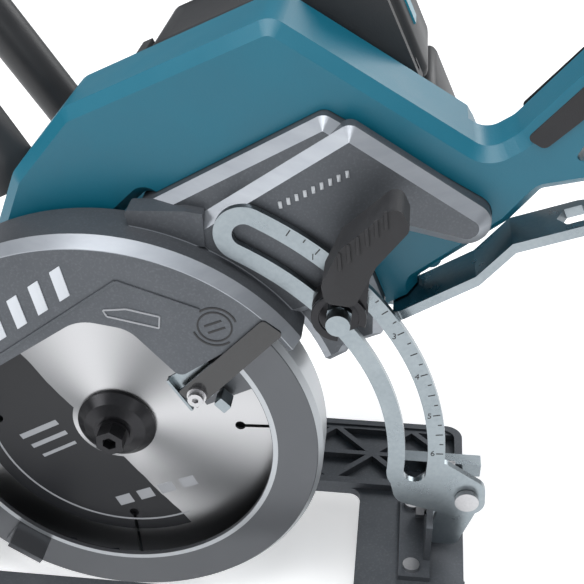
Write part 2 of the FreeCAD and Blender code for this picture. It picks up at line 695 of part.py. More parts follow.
def drive_gear():
    y0 = 20.0
    wheel = spur_gear(gear_teeth, gear_module, y0, y0 + gear_w, spindle_r, motor_angle)
    for k in range(4):
        a = math.radians(shaft_lock_angle + 90 * k)
        wheel = wheel.cut(rod_y(shaft_lock_r * math.cos(a), shaft_lock_r * math.sin(a), 3.6, y0 - 1,
                                y0 + gear_w + 1))
    return wheel


# ---------------------------------------------------------------- gear housing and motor
def gear_housing():
    room = gear_room_r()
    body = fuse(rod_y(0, 0, room, guard_back_y, 31), rod_y(motor_x, motor_z, 22, guard_back_y + 1, 31))
    boss = ring_y(0, 0, guard_boss_r, spindle_bearing_r, 7.6, guard_back_y)
    sleeve = ring_y(0, 0, guard_boss_r, 20.0, low_guard_back_y - low_guard_wall - 0.6, 7.6)
    body = body.cut(rod_y(0, 0, gear_pitch_r + gear_module + 1.5, 19, 32))
    body = body.cut(rod_y(motor_x, motor_z, pinion_pitch_r + gear_module + 6, 19, 32))
    body = body.fuse(boss).fuse(sleeve).cut(rod_y(0, 0, spindle_bearing_r, 7.7, 18.5)).cut(rod_y(0, 0, 9.0, 7, 20))
    for x, z in case_screw_places():
        body = body.cut(rod_y(x, z, 2.0, guard_back_y - 1, guard_back_y + 3))
    return body.removeSplitter()


def bearing_plate():
    room = gear_room_r()
    plate = fuse(rod_y(0, 0, room, 31, 34), rod_y(motor_x, motor_z, 22, 31, 34), rod_y(0, 0, 14, 31, 40),
                 rod_y(motor_x, motor_z, 14, 31, 41))
    plate = plate.cut(rod_y(0, 0, 11.0, 31.5, 38.5)).cut(rod_y(0, 0, 7.0, 30, 42))
    plate = plate.cut(rod_y(motor_x, motor_z, 11.0, 33, 40)).cut(rod_y(motor_x, motor_z, 7.0, 30, 42))
    lock_at = shaft_lock_place()
    plate = plate.cut(rod_y(lock_at[0], lock_at[1], 3.0 + running_gap, 30, 35))
    return plate.removeSplitter()


def bearing(x, z, r_out, r_in, y0, width):
    """Sealed ball bearing drawn as one ring with its two races standing proud of the seal."""
    ring = ring_y(x, z, r_out, r_in, y0, y0 + width)
    groove = ring_y(x, z, r_out - (r_out - r_in) * 0.25, r_in + (r_out - r_in) * 0.25, y0 - 1, y0 + 0.5)
    return ring.cut(groove)


def spindle_bearings():
    front = bearing(0, 0, spindle_bearing_r, spindle_r + running_gap, 8.0, spindle_bearing_w)
    rear = bearing(0, 0, 11.0, 5.0 + running_gap, 31.5, 6.5)
    return Part.makeCompound([front, rear])


def rotor_bearings():
    front = bearing(motor_x, motor_z, 11.0, 4.0 + running_gap, 33.0, 7.0)
    rear = bearing(motor_x, motor_z, 9.5, 4.0 + running_gap, 105.0, 6.0)
    return Part.makeCompound([front, rear])


def stator():
    y0 = 46.0
    core = ring_y(motor_x, motor_z, stator_r, 15.4, y0, y0 + stator_len)
    for k in range(6):
        slot = rod_y(motor_x + 22 * math.cos(k * math.pi / 3), motor_z + 22 * math.sin(k * math.pi / 3), 3.6,
                     y0 - 1, y0 + stator_len + 1)
        core = core.cut(slot)
    return core


def rotor_core():
    return ring_y(motor_x, motor_z, 14.8, 4.0, 48, 88)


def rotor_shaft():
    teeth = spur_gear(pinion_teeth, gear_module, 20.0, 20.0 + gear_w + 2, 1.5,
                      180.0 / pinion_teeth + motor_angle)
    teeth.translate(V(motor_x, 0, motor_z))
    shaft = fuse(rod_y(motor_x, motor_z, 5.0, 30, 33), rod_y(motor_x, motor_z, 4.0, 33, 112),
                 rod_y(motor_x, motor_z, 1.5, 19.5, 31))
    return fuse(teeth, shaft)


def fan():
    hub = ring_y(motor_x, motor_z, 8, 4.0, 93, 101)
    disc = ring_y(motor_x, motor_z, 28, 4.0, 93, 94.5)
    wheel = hub.fuse(disc)
    for k in range(9):
        vane = box(9, 28, 0, 6, -0.6, 0.6)
        vane.rotate(ORIGIN, V(0, 1, 0), 40 * k)
        vane.translate(V(motor_x, 94.4, motor_z))
        wheel = wheel.fuse(vane)
    return wheel.removeSplitter()


def motor_housing():
    inner = motor_r - motor_wall
    barrel = rod_y(motor_x, motor_z, motor_r, motor_front_y, motor_back_y).cut(
        rod_y(motor_x, motor_z, inner, motor_front_y - 1, motor_back_y + 1))
    collar = rod_y(0, 0, 22.0, 34, 44).cut(rod_y(0, 0, 14.0, 33, 45))
    barrel = barrel.fuse(collar.cut(rod_y(motor_x, motor_z, inner, 30, 60)))
    for k in range(3):
        foot = ring_y(motor_x, motor_z, inner + 0.5, stator_r, 50 + 14 * k, 54 + 14 * k)
        barrel = barrel.fuse(foot)
    barrel = barrel.cut(rod_y(0, 0, 14.0, 33, 45))
    return barrel.removeSplitter()


def motor_cover():
    inner = motor_r - motor_wall
    cap = fuse(rod_y(motor_x, motor_z, motor_r, motor_back_y, motor_back_y + 4),
               rod_y(motor_x, motor_z, 13.0, 105, motor_back_y + 1))
    web = ring_y(motor_x, motor_z, inner - 0.2, 12.5, 112, motor_back_y + 1)
    cap = cap.fuse(web).cut(rod_y(motor_x, motor_z, 9.5, 100, 111)).cut(rod_y(motor_x, motor_z, 5.0, 100,
                                                                              113))
    for k in range(5):
        vent = box(motor_x - 22, motor_x + 22, 110, motor_back_y + 6, motor_z - 17 + 8 * k,
                   motor_z - 14 + 8 * k)
        cap = cap.cut(vent.cut(rod_y(motor_x, motor_z, 14.0, 100, 130)))
    return cap.removeSplitter()


# ---------------------------------------------------------------- handle shells
body_outline = [(-14, 88, 5), (46, 88, 4), (65, 95, 3), (88, 26, 6), (141, 2, 3), (152.5, 2.5, 2),
                (154.5, 13, 3), (200, 25, 8), (217, 34, 4), (237, 30, 10), (272, 4, 16), (296, -4, 12),
                (311, 6, 12), (324, 46, 20), (319, 86, 16), (294, 97, 16), (216, 60, 12), (203, 58, 10),
                (146, 142, 10), (50, 141, 10), (14, 124, 12), (-10, 102, 8)]
loop_outline = [(233, 44, 2), (270, 24, 12), (290, 16, 8), (300, 26, 9), (305, 56, 14), (286, 66, 10),
                (240, 50, 3)]


def shell_half(y0, y1, bevel_side):
    """One half of the body and rear handle: flat joint face, bevelled outer edge, hollow inside."""
    inner = inset_points(body_outline, shell_wall)
    bevel = 6.0
    handle_zone = box(198, 400, min(y0, y1) - 1, max(y0, y1) + 1, -60, 200)
    body_zone = box(-60, 198, min(y0, y1) - 1, max(y0, y1) + 1, -60, 200)
    outer_y = y1 if bevel_side > 0 else y0
    joint_y = y0 if bevel_side > 0 else y1
    block = raised_y(body_outline, joint_y, outer_y - bevel * bevel_side, outer_y, bevel * 0.8)
    handle_y = joint_y + handle_half_w * bevel_side
    handle = raised_y(body_outline, joint_y, handle_y - bevel * bevel_side, handle_y, bevel * 0.8)
    solid = block.common(body_zone).fuse(handle.common(handle_zone))
    solid = solid.cut(prism_y(loop_outline, min(y0, y1) - 1, max(y0, y1) + 1))
    cavity_end = outer_y - (bevel + 1) * bevel_side
    handle_end = handle_y - (bevel + 1) * bevel_side
    body_room = prism_y(inner, min(joint_y, cavity_end), max(joint_y, cavity_end)).common(
        box(-60, 195, -100, 200, -60, 200))
    loop_wall = prism_y(inset_points(loop_outline, -shell_wall), min(y0, y1) - 1, max(y0, y1) + 1)
    handle_room = prism_y(inner, min(joint_y, handle_end), max(joint_y, handle_end)).common(
        box(195, 400, -100, 200, -60, 200)).cut(loop_wall)
    return solid.cut(body_room).cut(handle_room)


def clear_of_case():
    """Room that the case panel, gear housing and motor barrel take out of the shells."""
    grown = inset_points(low_outline, -0.3)
    rooms = [prism_y(grown, 0, case_back_y + 0.2), rod_y(0, 0, gear_room_r() + seat_gap, 0, 41),
             rod_y(motor_x, motor_z, 22.0 + seat_gap, 0, 41), rod_y(0, 0, guard_r + 0.5, 0,
                                                                    guard_back_y + 0.5),
             rod_y(motor_x, motor_z, motor_r + 0.1, motor_front_y - 0.1, motor_back_y)]
    return rooms[0].multiFuse(rooms[1:])


def shell_left():
    half = shell_half(shell_left_y, shell_joint_y, -1).cut(clear_of_case())
    half = half.cut(trigger_room()).cut(lock_room()).cut(wrench_room())
    half = half.cut(led_room())
    for x, z in shell_screw_places():
        half = half.fuse(rod_y(x, z, 4.5, shell_joint_y - 12, shell_joint_y)).cut(
            rod_y(x, z, 1.8, shell_joint_y - 8, shell_joint_y + 1))
    return largest(half)


def shell_right():
    half = shell_half(shell_joint_y, shell_right_y, 1).cut(clear_of_case())
    half = half.cut(trigger_room()).cut(lock_room()).cut(wrench_room())
    for x, z in shell_screw_places():
        end = shell_joint_y + handle_half_w if x > 198 else shell_right_y
        half = half.fuse(rod_y(x, z, 4.5, shell_joint_y, end - 1)).cut(rod_y(x, z, 1.8, shell_joint_y - 1,
                                                                             end + 1))
        half = half.cut(rod_y(x, z, 3.5, end - 4, end + 1))
    return largest(half)


def largest(shape):
    """The one real solid of a shell, without the offcuts that a cut can leave."""
    solids = sorted(shape.removeSplitter().Solids, key=lambda s: s.Volume)
    return solids[-1]


def shell_screw_places():
    return [(20, 114), (112, 130), (176, 84), (164, 20), (312, 62), (278, 9), (222, 44)]


def shell_screws():
    screws = []
    for x, z in shell_screw_places():
        end = shell_joint_y + handle_half_w if x > 198 else shell_right_y
        screws.append(fuse(rod_y(x, z, 1.8, shell_joint_y - 8, end - 4), rod_y(x, z, 3.3, end - 4,
                                                                               end - 1.6)))
    return Part.makeCompound(screws)


def grip_pad():
    """Rubber pad on the back and top of the rear handle."""
    path = [(219, 60, 2), (224, 53, 3), (240, 59, 3), (288, 80, 5), (306, 76, 5), (309, 44, 2), (320, 46, 2),
            (316, 83, 12), (294, 94.5, 12)]
    y_mid = shell_joint_y
    y0, y1 = y_mid - handle_half_w - 1.0, y_mid + handle_half_w + 1.0
    left = prism_y(path, y0, y_mid - handle_half_w)
    right = prism_y(path, y_mid + handle_half_w, y1)
    return left, right


def grip_rubber():
    return Part.makeCompound([pad.cut(lock_room()) for pad in grip_pad()])


# ---------------------------------------------------------------- controls in the handle
def trigger_shape(grow):
    return prism_y(inset_points([(243, 37, 3), (258, 36, 4), (266, 46, 5), (269, 59, 2), (249, 55, 2)],
                                -grow),
                   shell_joint_y - 8 - grow, shell_joint_y + 8 + grow)


def trigger_room():
    steps = 6
    spots = []
    for k in range(steps + 1):
        spot = trigger_shape(0.5)
        move = trigger_travel * k / steps
        spot.translate(V(move * trigger_way[0], 0, move * trigger_way[1]))
        spots.append(spot)
    return fuse(*spots)


def trigger():
    return trigger_shape(0.0)


def lock_room():
    return rod_y(lock_x, lock_z, 5.0 + seat_gap, shell_joint_y - handle_half_w - 3,
                 shell_joint_y + handle_half_w + 3)


def lock_button():
    return rod_y(lock_x, lock_z, 5.0, shell_joint_y - handle_half_w - 3.0,
                 shell_joint_y + handle_half_w + 3.0)


def switch_body():
    return box(252, 272, shell_joint_y - 8, shell_joint_y + 8, 66, 71)


def led_room():
    return box(18, 30, shell_left_y - 1, shell_left_y + 9, 89, 95.5)


def led_lens():
    return box(18, 30, shell_left_y + 0.5, shell_left_y + 8, 89.2, 95.3)


def shaft_lock_place():
    a = math.radians(shaft_lock_angle)
    return shaft_lock_r * math.cos(a), shaft_lock_r * math.sin(a)


def shaft_lock():
    x, z = shaft_lock_place()
    return fuse(rod_y(x, z, 6.0, 34.0 + shaft_lock_travel + 0.5, 45), rod_y(x, z, 3.0, 29.5, 40))


def controller():
    return fuse(box(80, 138, 40, 52, 92, 118), box(86, 132, 36, 40, 96, 114))


# ---------------------------------------------------------------- front handle
def front_handle():
    r = 14.0
    leg_y0, leg_y1 = 46.0, 118.0
    foot_x, foot_z = -2.0, 112.0
    top_x, top_z = -12.0, 226.0
    turn = 22.0
    lean = (top_x - foot_x) / (top_z - foot_z)
    knee_x = top_x - lean * turn
    segments = []
    segments.append(cylinder_between(V(foot_x, leg_y0, foot_z), V(knee_x, leg_y0, top_z - turn), r))
    segments.append(Part.makeSphere(r, V(knee_x, leg_y0, top_z - turn)))
    segments.append(cylinder_between(V(knee_x, leg_y0, top_z - turn), V(top_x, leg_y0 + turn, top_z), r))
    segments.append(Part.makeSphere(r, V(top_x, leg_y0 + turn, top_z)))
    segments.append(cylinder_between(V(top_x, leg_y0 + turn, top_z), V(top_x, leg_y1 - turn, top_z), r))
    segments.append(Part.makeSphere(r, V(top_x, leg_y1 - turn, top_z)))
    segments.append(cylinder_between(V(top_x, leg_y1 - turn, top_z), V(knee_x, leg_y1, top_z - turn), r))
    segments.append(Part.makeSphere(r, V(knee_x, leg_y1, top_z - turn)))
    segments.append(cylinder_between(V(knee_x, leg_y1, top_z - turn), V(motor_x - 20, leg_y1,
                                                                        motor_z + 30), r - 3))
    body = segments[0].multiFuse(segments[1:])
    body = body.cut(rod_y(motor_x, motor_z, motor_r + 0.1, 60, motor_back_y + 20))
    shell_solid = prism_y(body_outline, shell_left_y - 1, shell_right_y + 0.2)
    return largest(body.cut(shell_solid))


def cylinder_between(a, b, r):
    return Part.makeCylinder(r, (b - a).Length, a, b - a)


# ---------------------------------------------------------------- battery side
def dock_x_end():
    return pack_x + pack_len


def battery_dock():
    height = 2 * pack_h + (pack_pitch - pack_h)
    plate = box(pack_x, dock_x_end() - 2, shell_right_y, dock_y + 4, pack_z, pack_z + height)
    stop = box(pack_x - 5, pack_x, shell_right_y, dock_y + 30, pack_z, pack_z + height)
    body = plate.fuse(stop)
    for k in range(2):
        z_mid = pack_z + pack_h / 2 + pack_pitch * k
        for side in (-1, 1):
            z = z_mid + side * 24
            stem = box(pack_x, dock_x_end() - 2, dock_y + 4, dock_y + 8, z - 2, z + 2)
            lip_z = (z - 2, z + 6) if side < 0 else (z - 6, z + 2)
            lip = box(pack_x, dock_x_end() - 2, dock_y + 8, dock_y + 11, lip_z[0], lip_z[1])
            body = body.fuse(stem).fuse(lip)
    body = body.cut(rod_y(motor_x, motor_z, motor_r + 0.1, 40, motor_back_y))
    return body.removeSplitter()


def terminal_blades():
    blades = []
    for k in range(2):
        z_mid = pack_z + pack_h / 2 + pack_pitch * k
        for dz in (-12, 0, 12):
            blades.append(box(pack_x, pack_x + 14, dock_y + 6, dock_y + 13, z_mid + dz - 0.5,
                              z_mid + dz + 0.5))
    return Part.makeCompound(blades)


def battery_pack(k):
    z0 = pack_z + pack_pitch * k
    z_mid = z0 + pack_h / 2
    y0 = dock_y + 12
    body = box(pack_x + 0.3, dock_x_end(), y0, y0 + pack_w - 12, z0, z0 + pack_h)
    shoe = box(pack_x + 0.3, dock_x_end(), dock_y + 5, y0, z_mid - 17.5, z_mid + 17.5)
    body = body.fuse(shoe)
    for dz in (-12, 0, 12):
        body = body.cut(box(pack_x - 1, pack_x + 16, dock_y + 5.5, dock_y + 14, z_mid + dz - 1,
                            z_mid + dz + 1))
    for side in (-1, 1):
        rail = box(pack_x + 0.3, dock_x_end(), dock_y + 4.5, dock_y + 7.6, 0, 3.6)
        rail.translate(V(0, 0, z_mid + side * 17.5 - (0 if side > 0 else 3.6)))
        body = body.fuse(rail)
    body = body.cut(release_shape(k, 0.3)).cut(release_shape(k, 0.3).translated(V(-release_travel, 0, 0)))
    return body.removeSplitter()


def release_shape(k, grow):
    z_mid = pack_z + pack_h / 2 + pack_pitch * k
    x1 = dock_x_end()
    return box(x1 - 6 - grow, x1 + 1.0, dock_y + 30 - grow, dock_y + 42 + grow, z_mid - 10 - grow,
               z_mid + 10 + grow)


def release_button(k):
    return release_shape(k, 0.0)


# ---------------------------------------------------------------- wrench, depth clamp
def wrench_path(grow, x_from):
    """Side view of the flat bar: straight in its slot, then stepped up to the ring end."""
    half = wrench_t / 2 + grow
    path = [(x_from, 5.5), (181, 10.6), (200, 20.0), (wrench_end, 17.0)]
    return [(x, z - half) for x, z in path] + [(x, z + half) for x, z in reversed(path)]


def wrench_room():
    path = wrench_path(0.4, 140)
    below, above = path[:4], path[4:]
    points = [(x, z - wrench_drop, 0) for x, z in below] + [(x, z, 0) for x, z in above]
    return prism_y(points, wrench_y - 0.4, wrench_y + wrench_w + 0.4)


def hex_wrench():
    bar = prism_y([(x, z, 0) for x, z in wrench_path(0.0, 142)], wrench_y, wrench_y + wrench_w)
    y_mid = wrench_y + wrench_w / 2
    r = wrench_w / 2
    outline = prism_z([(142, wrench_y, 4), (wrench_end, wrench_y, r - 0.1), (wrench_end,
                                                                             wrench_y + wrench_w, r - 0.1),
                       (142, wrench_y + wrench_w, 4)], -10, 60)
    hole_x = wrench_end - r - 1
    hole_r = (bolt_af + 0.5) / 2 / math.cos(math.pi / 6)
    corners = [(hole_x + hole_r * math.cos(math.pi / 3 * k), y_mid + hole_r * math.sin(math.pi / 3 * k), 0)
               for k in range(6)]
    return bar.common(outline).cut(prism_z(corners, 0, 40))


def depth_bolt():
    x, z = depth_bolt_x, depth_bolt_z
    bush_y0, bush_y1 = guide_y - seat_gap, -1.0
    shank = rod_y(x, z, depth_bolt_r, bush_y0, 6)
    bush = rod_y(x, z, bush_r, bush_y0, bush_y1)
    thread = rod_y(x, z, 3.0, guide_y - 18, bush_y0)
    return fuse(shank, bush, thread)


def depth_lever():
    x, z = depth_bolt_x, depth_bolt_z
    y1 = guide_y - seat_gap - 0.1
    y0 = y1 - 6.0
    hub = rod_y(x, z, 11.6, y0, y1)
    arm = prism_y([(x - 2, z + 6, 2), (x + 11, z - 2, 2), (x + 24, z + 22, 5), (x + 8, z + 26, 5)],
                  y0 - 6, y0 + 4)
    body = hub.fuse(arm).cut(rod_y(x, z, 6.2, y0 - 20, y0)).cut(rod_y(x, z, 3.0 + running_gap, y0 - 20,
                                                                      y1 + 1))
    return body.removeSplitter()


def lever_grip():
    x, z = depth_bolt_x, depth_bolt_z
    y0 = guide_y - seat_gap - 0.1 - 26
    grip = prism_y([(x + 2, z + 16, 4), (x + 12, z + 10, 4), (x + 27, z + 24, 4), (x + 45, z + 34, 4),
                    (x + 45, z + 46, 4), (x + 17, z + 36, 6), (x + 4, z + 24, 5)], y0, y0 + 17)
    return grip.cut(depth_lever())


def depth_nut():
    x, z = depth_bolt_x, depth_bolt_z
    y1 = guide_y - seat_gap - 0.1 - 6.0
    body = fuse(hex_y(x, z, 10.0, y1 - 7, y1), rod_y(x, z, 5.0, y1 - 13, y1 - 7))
    return body.cut(rod_y(x, z, 3.0 + running_gap, y1 - 12.5, y1 + 1))


# ---------------------------------------------------------------- write every piece
save("base_plate", base_plate())
save("base_screws", base_screws())
save("front_bracket", front_bracket())
save("rear_bracket", rear_bracket())
save("stop_bar", stop_bar_shape(0.0))
save("front_carriage", front_carriage())
save("rear_carriage", rear_carriage())
save("depth_pivot_pin", depth_pivot_pin())
save("guide_pin", guide_pin())
save("clamp_bolts", clamp_bolts())
save("front_bevel_lever", front_bevel_lever())
save("rear_bevel_lever", rear_bevel_lever())
save("depth_guide", depth_guide())

head_pieces = [blade_case, case_screws, deflector_plate, deflector_bracket, deflector_screw, lower_guard,
               guard_lever,
               guard_spring, saw_blade, inner_flange, outer_flange, arbor_bolt, spindle, drive_gear, gear_housing,
               bearing_plate, spindle_bearings, rotor_bearings, stator, rotor_core, rotor_shaft, fan, motor_housing,
               motor_cover, shell_left, shell_right, shell_screws, grip_rubber, trigger, lock_button, switch_body,
               led_lens, shaft_lock, controller, front_handle, battery_dock, terminal_blades, hex_wrench, depth_bolt,
               depth_lever, lever_grip, depth_nut]
for piece in head_pieces:
    save(piece.__name__, tip_up(piece()))
for k, side in enumerate(("lower", "upper")):
    save("battery_" + side, tip_up(battery_pack(k)))
    save("release_" + side, tip_up(release_button(k)))
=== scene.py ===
import bmesh
import bpy
import json
import math
from mathutils import Matrix, Vector


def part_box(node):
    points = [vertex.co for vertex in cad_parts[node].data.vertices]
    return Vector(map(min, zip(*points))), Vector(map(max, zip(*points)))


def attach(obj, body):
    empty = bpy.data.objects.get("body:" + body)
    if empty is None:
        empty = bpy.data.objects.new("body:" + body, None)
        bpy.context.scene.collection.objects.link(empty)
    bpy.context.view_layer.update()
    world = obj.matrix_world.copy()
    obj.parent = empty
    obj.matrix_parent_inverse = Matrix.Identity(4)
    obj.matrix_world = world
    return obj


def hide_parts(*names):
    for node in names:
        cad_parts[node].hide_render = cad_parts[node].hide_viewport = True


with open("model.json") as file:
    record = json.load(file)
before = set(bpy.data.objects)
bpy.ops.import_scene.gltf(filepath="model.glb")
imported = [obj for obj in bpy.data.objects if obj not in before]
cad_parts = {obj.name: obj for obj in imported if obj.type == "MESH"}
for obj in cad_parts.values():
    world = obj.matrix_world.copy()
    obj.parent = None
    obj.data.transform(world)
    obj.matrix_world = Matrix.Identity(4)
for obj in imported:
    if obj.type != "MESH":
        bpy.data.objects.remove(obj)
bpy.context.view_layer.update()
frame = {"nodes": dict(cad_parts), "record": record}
nodes = frame["nodes"]
behaviour = frame["record"]["behaviour"]
joints = {j["name"]: j for j in behaviour["joints"]}
ratios = {c["joint"]: c["ratio"] for c in behaviour["couplings"]}
print("frame loaded:", len(nodes), "nodes")

arbor = Vector(joints["blade_spin"]["pos_m"])
frontPivot = Vector(joints["depth_swing"]["pos_m"])
guidePivot = Vector(joints["guide_swing"]["pos_m"])
depthBolt = Vector(joints["depth_lever_turn"]["pos_m"])
motorCentre = Vector(joints["rotor_spin"]["pos_m"])
tipUp = math.radians(-joints["depth_swing"]["range_deg"][0])  # the head is level at full depth
guideRatio = ratios["guide_swing"]  # guide turn per turn of the head
yAxis = Vector((0, 1, 0))
mm = 0.001


def headPlace(x, z, y):  # millimetres in the level head, about the arbor, into the row frame
    return Vector((arbor.x + (x * math.cos(tipUp) - z * math.sin(tipUp)) * mm, y * mm,
                   arbor.z + (x * math.sin(tipUp) + z * math.cos(tipUp)) * mm))


def rowPlace(x, z, y):
    return Vector((x * mm, y * mm, z * mm))


def finishPiece(name, bm, body, material, smoothAngle=40):
    bmesh.ops.remove_doubles(bm, verts=bm.verts, dist=1e-6)
    bmesh.ops.recalc_face_normals(bm, faces=bm.faces)
    mesh = bpy.data.meshes.new(name)
    bm.to_mesh(mesh)
    bm.free()
    mesh.shade_smooth()
    mesh.set_sharp_from_angle(angle=math.radians(smoothAngle))
    piece = bpy.data.objects.new(name, mesh)
    bpy.context.scene.collection.objects.link(piece)
    mesh.materials.append(material)
    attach(piece, body)
    return piece


def softenEdges(bm, width, segments=2, angle=25):
    sharp = [e for e in bm.edges if len(e.link_faces) == 2 and e.calc_face_angle() > math.radians(angle)]
    bmesh.ops.bevel(bm, geom=sharp, offset=width, segments=segments, profile=0.5, affect="EDGES", material=-1)


def addSlab(bm, points, yBack, yFront, placeBy=headPlace, edge=0.0):  # an outline in x, z given thickness in y
    part = bmesh.new()
    verts = [part.verts.new(placeBy(x, z, yBack)) for x, z in points]
    face = part.faces.new(verts)
    grown = bmesh.ops.extrude_face_region(part, geom=[face])
    moved = [g for g in grown["geom"] if isinstance(g, bmesh.types.BMVert)]
    bmesh.ops.translate(part, verts=moved, vec=yAxis * (yFront - yBack) * mm)
    bmesh.ops.recalc_face_normals(part, faces=part.faces)
    if edge:
        softenEdges(part, edge * mm)
    joinInto(bm, part)


def addMark(bm, points, face, proud, sink=0.1, placeBy=headPlace, edge=0.0):  # raised on a face towards -y
    addSlab(bm, points, face + sink, face - proud, placeBy, edge)


def joinInto(bm, part):
    mesh = bpy.data.meshes.new("part")
    part.to_mesh(mesh)
    part.free()
    bm.from_mesh(mesh)
    bpy.data.meshes.remove(mesh)


def addArc(bm, centre, radius, width, yBack, yFront, fromDeg, toDeg, steps=24):  # a flat band bent about y
    part = bmesh.new()
    corners = [(radius - width / 2, yBack), (radius + width / 2, yBack),
               (radius + width / 2, yFront), (radius - width / 2, yFront)]
    start = Matrix.Rotation(-math.radians(fromDeg), 3, yAxis)
    verts = [part.verts.new(centre + start @ Vector((r * mm, 0, 0)) + yAxis * y * mm) for r, y in corners]
    rim = [part.edges.new((verts[k - 1], verts[k])) for k in range(4)]
    turn = toDeg - fromDeg
    full = abs(turn) >= 360
    spun = bmesh.ops.spin(part, geom=verts + rim, cent=centre, axis=-yAxis, angle=math.radians(turn),
                          steps=steps, use_merge=full, use_duplicate=False)
    if not full:
        ends = [g for g in spun["geom_last"] if isinstance(g, bmesh.types.BMEdge)]
        bmesh.ops.edgeloop_fill(part, edges=rim)
        bmesh.ops.edgeloop_fill(part, edges=ends)
    bmesh.ops.recalc_face_normals(part, faces=part.faces)
    joinInto(bm, part)


def barPoints(x0, z0, x1, z1, width):
    length = math.hypot(x1 - x0, z1 - z0)
    nx, nz = -(z1 - z0) / length * width / 2, (x1 - x0) / length * width / 2
    return [(x0 + nx, z0 + nz), (x0 - nx, z0 - nz), (x1 - nx, z1 - nz), (x1 + nx, z1 + nz)]


class Wire:  # one socket, with the arithmetic that the finishes use
    def __init__(self, finish, socket):
        self.finish = finish
        self.socket = socket

    def maths(self, operation, a, b=0.0):
        return self.finish.node("ShaderNodeMath", {"operation": operation}, {0: a, 1: b})

    def __add__(self, other):
        return self.maths("ADD", self, other)

    def __radd__(self, other):
        return self.maths("ADD", other, self)

    def __sub__(self, other):
        return self.maths("SUBTRACT", self, other)

    def __rsub__(self, other):
        return self.maths("SUBTRACT", other, self)

    def __mul__(self, other):
        return self.maths("MULTIPLY", self, other)

    def __pow__(self, other):
        return self.maths("POWER", self, other)

    def __gt__(self, other):
        return self.maths("GREATER_THAN", self, other)

    def __lt__(self, other):
        return self.maths("LESS_THAN", self, other)

    def __abs__(self):
        return self.maths("ABSOLUTE", self)


class Finish:
    def __init__(self, name, roughness, metallic=0.0, coat=0.0):
        self.material = bpy.data.materials.new(name)
        self.material.use_nodes = True
        self.tree = self.material.node_tree
        self.shader = self.tree.nodes["Principled BSDF"]
        self.shader.inputs["Roughness"].default_value = roughness
        self.shader.inputs["Metallic"].default_value = metallic
        self.shader.inputs["Coat Weight"].default_value = coat
        coords = self.tree.nodes.new("ShaderNodeTexCoord")
        self.place = Wire(self, coords.outputs["Object"])
        self.normal = Wire(self, coords.outputs["Normal"])

    def node(self, kind, settings, values, output=0):
        made = self.tree.nodes.new(kind)
        for key, value in settings.items():
            if key == "stops":
                self.setStops(made.color_ramp, value)
            else:
                setattr(made, key, value)
        for key, value in values.items():
            if isinstance(value, Wire):
                self.tree.links.new(value.socket, made.inputs[key])
            else:
                made.inputs[key].default_value = value
        return Wire(self, made.outputs[output])

    def setStops(self, ramp, stops):
        while len(ramp.elements) < len(stops):
            ramp.elements.new(1.0)
        for element, (at, value) in zip(ramp.elements, stops):
            element.position = at
            element.color = (value, value, value, 1.0)

    def noise(self, scale, detail=4.0, stretch=None, rough=0.55):
        at = self.place
        if stretch is not None:
            at = self.node("ShaderNodeMapping", {}, {"Vector": self.place, "Scale": stretch})
        return self.node("ShaderNodeTexNoise", {}, {"Vector": at, "Scale": scale, "Detail": detail,
                                                    "Roughness": rough})

    def cells(self, scale):
        return self.node("ShaderNodeTexVoronoi", {"feature": "SMOOTH_F1"},
                         {"Vector": self.place, "Scale": scale})

    def ramp(self, value, stops):
        return self.node("ShaderNodeValToRGB", {"stops": stops}, {0: value})

    def mix(self, amount, a, b):
        return self.node("ShaderNodeMix", {"data_type": "RGBA"}, {0: amount, 6: a, 7: b}, 2)

    def axisOf(self, wire, output):
        return self.node("ShaderNodeSeparateXYZ", {}, {0: wire}, output)

    def distanceFrom(self, centre):  # across x and z, from a line along y
        dx = self.axisOf(self.place, 0) - centre.x
        dz = self.axisOf(self.place, 2) - centre.z
        return (dx * dx + dz * dz) ** 0.5

    def feed(self, **links):
        for key, value in links.items():
            self.tree.links.new(value.socket, self.shader.inputs[key.replace("_", " ")])

    def bump(self, height, strength, distance):
        bumped = self.node("ShaderNodeBump", {}, {"Height": height, "Strength": strength, "Distance": distance})
        self.tree.links.new(bumped.socket, self.shader.inputs["Normal"])


def colour(r, g, b):
    return (r, g, b, 1.0)


mouldedPlastic = {"teal": (0.001, 0.112, 0.172), "tealWorn": (0.004, 0.145, 0.215),
                  "black": (0.018, 0.019, 0.021), "blackWorn": (0.040, 0.041, 0.044),
                  "patchScale": 28.0, "grainScale": 1500.0, "grainDepth": 0.00012}


def plasticFinish(name, base, wearAndHighlight, roughness, grain=1.0, coat=0.0):
    f = Finish(name, roughness, coat=coat)
    patches = f.ramp(f.noise(mouldedPlastic["patchScale"], 5.0), [(0.35, 0.0), (0.75, 1.0)])
    f.feed(Base_Color=f.mix(patches * 0.35, colour(*base), colour(*wearAndHighlight)),
           Roughness=roughness - 0.06 + patches * 0.1)
    scale = mouldedPlastic["grainScale"]
    pebbles = f.cells(scale * grain) * 0.7 + f.noise(scale * 2, 2.0) * 0.3
    f.bump(pebbles, 0.35, mouldedPlastic["grainDepth"])
    return f.material


rubberGrip = {"clean": (0.013, 0.013, 0.015), "dusty": (0.045, 0.046, 0.050), "dustScale": 60.0,
              "pebbleScale": 2200.0, "pebbleDepth": 0.00012}


def rubberFinish():
    f = Finish("softRubber", 0.75)
    dust = f.ramp(f.noise(rubberGrip["dustScale"], 6.0), [(0.45, 0.0), (0.8, 1.0)])
    f.feed(Base_Color=f.mix(dust * 0.5, colour(*rubberGrip["clean"]), colour(*rubberGrip["dusty"])),
           Roughness=0.68 + dust * 0.15)
    f.bump(f.cells(rubberGrip["pebbleScale"]), 0.4, rubberGrip["pebbleDepth"])
    return f.material
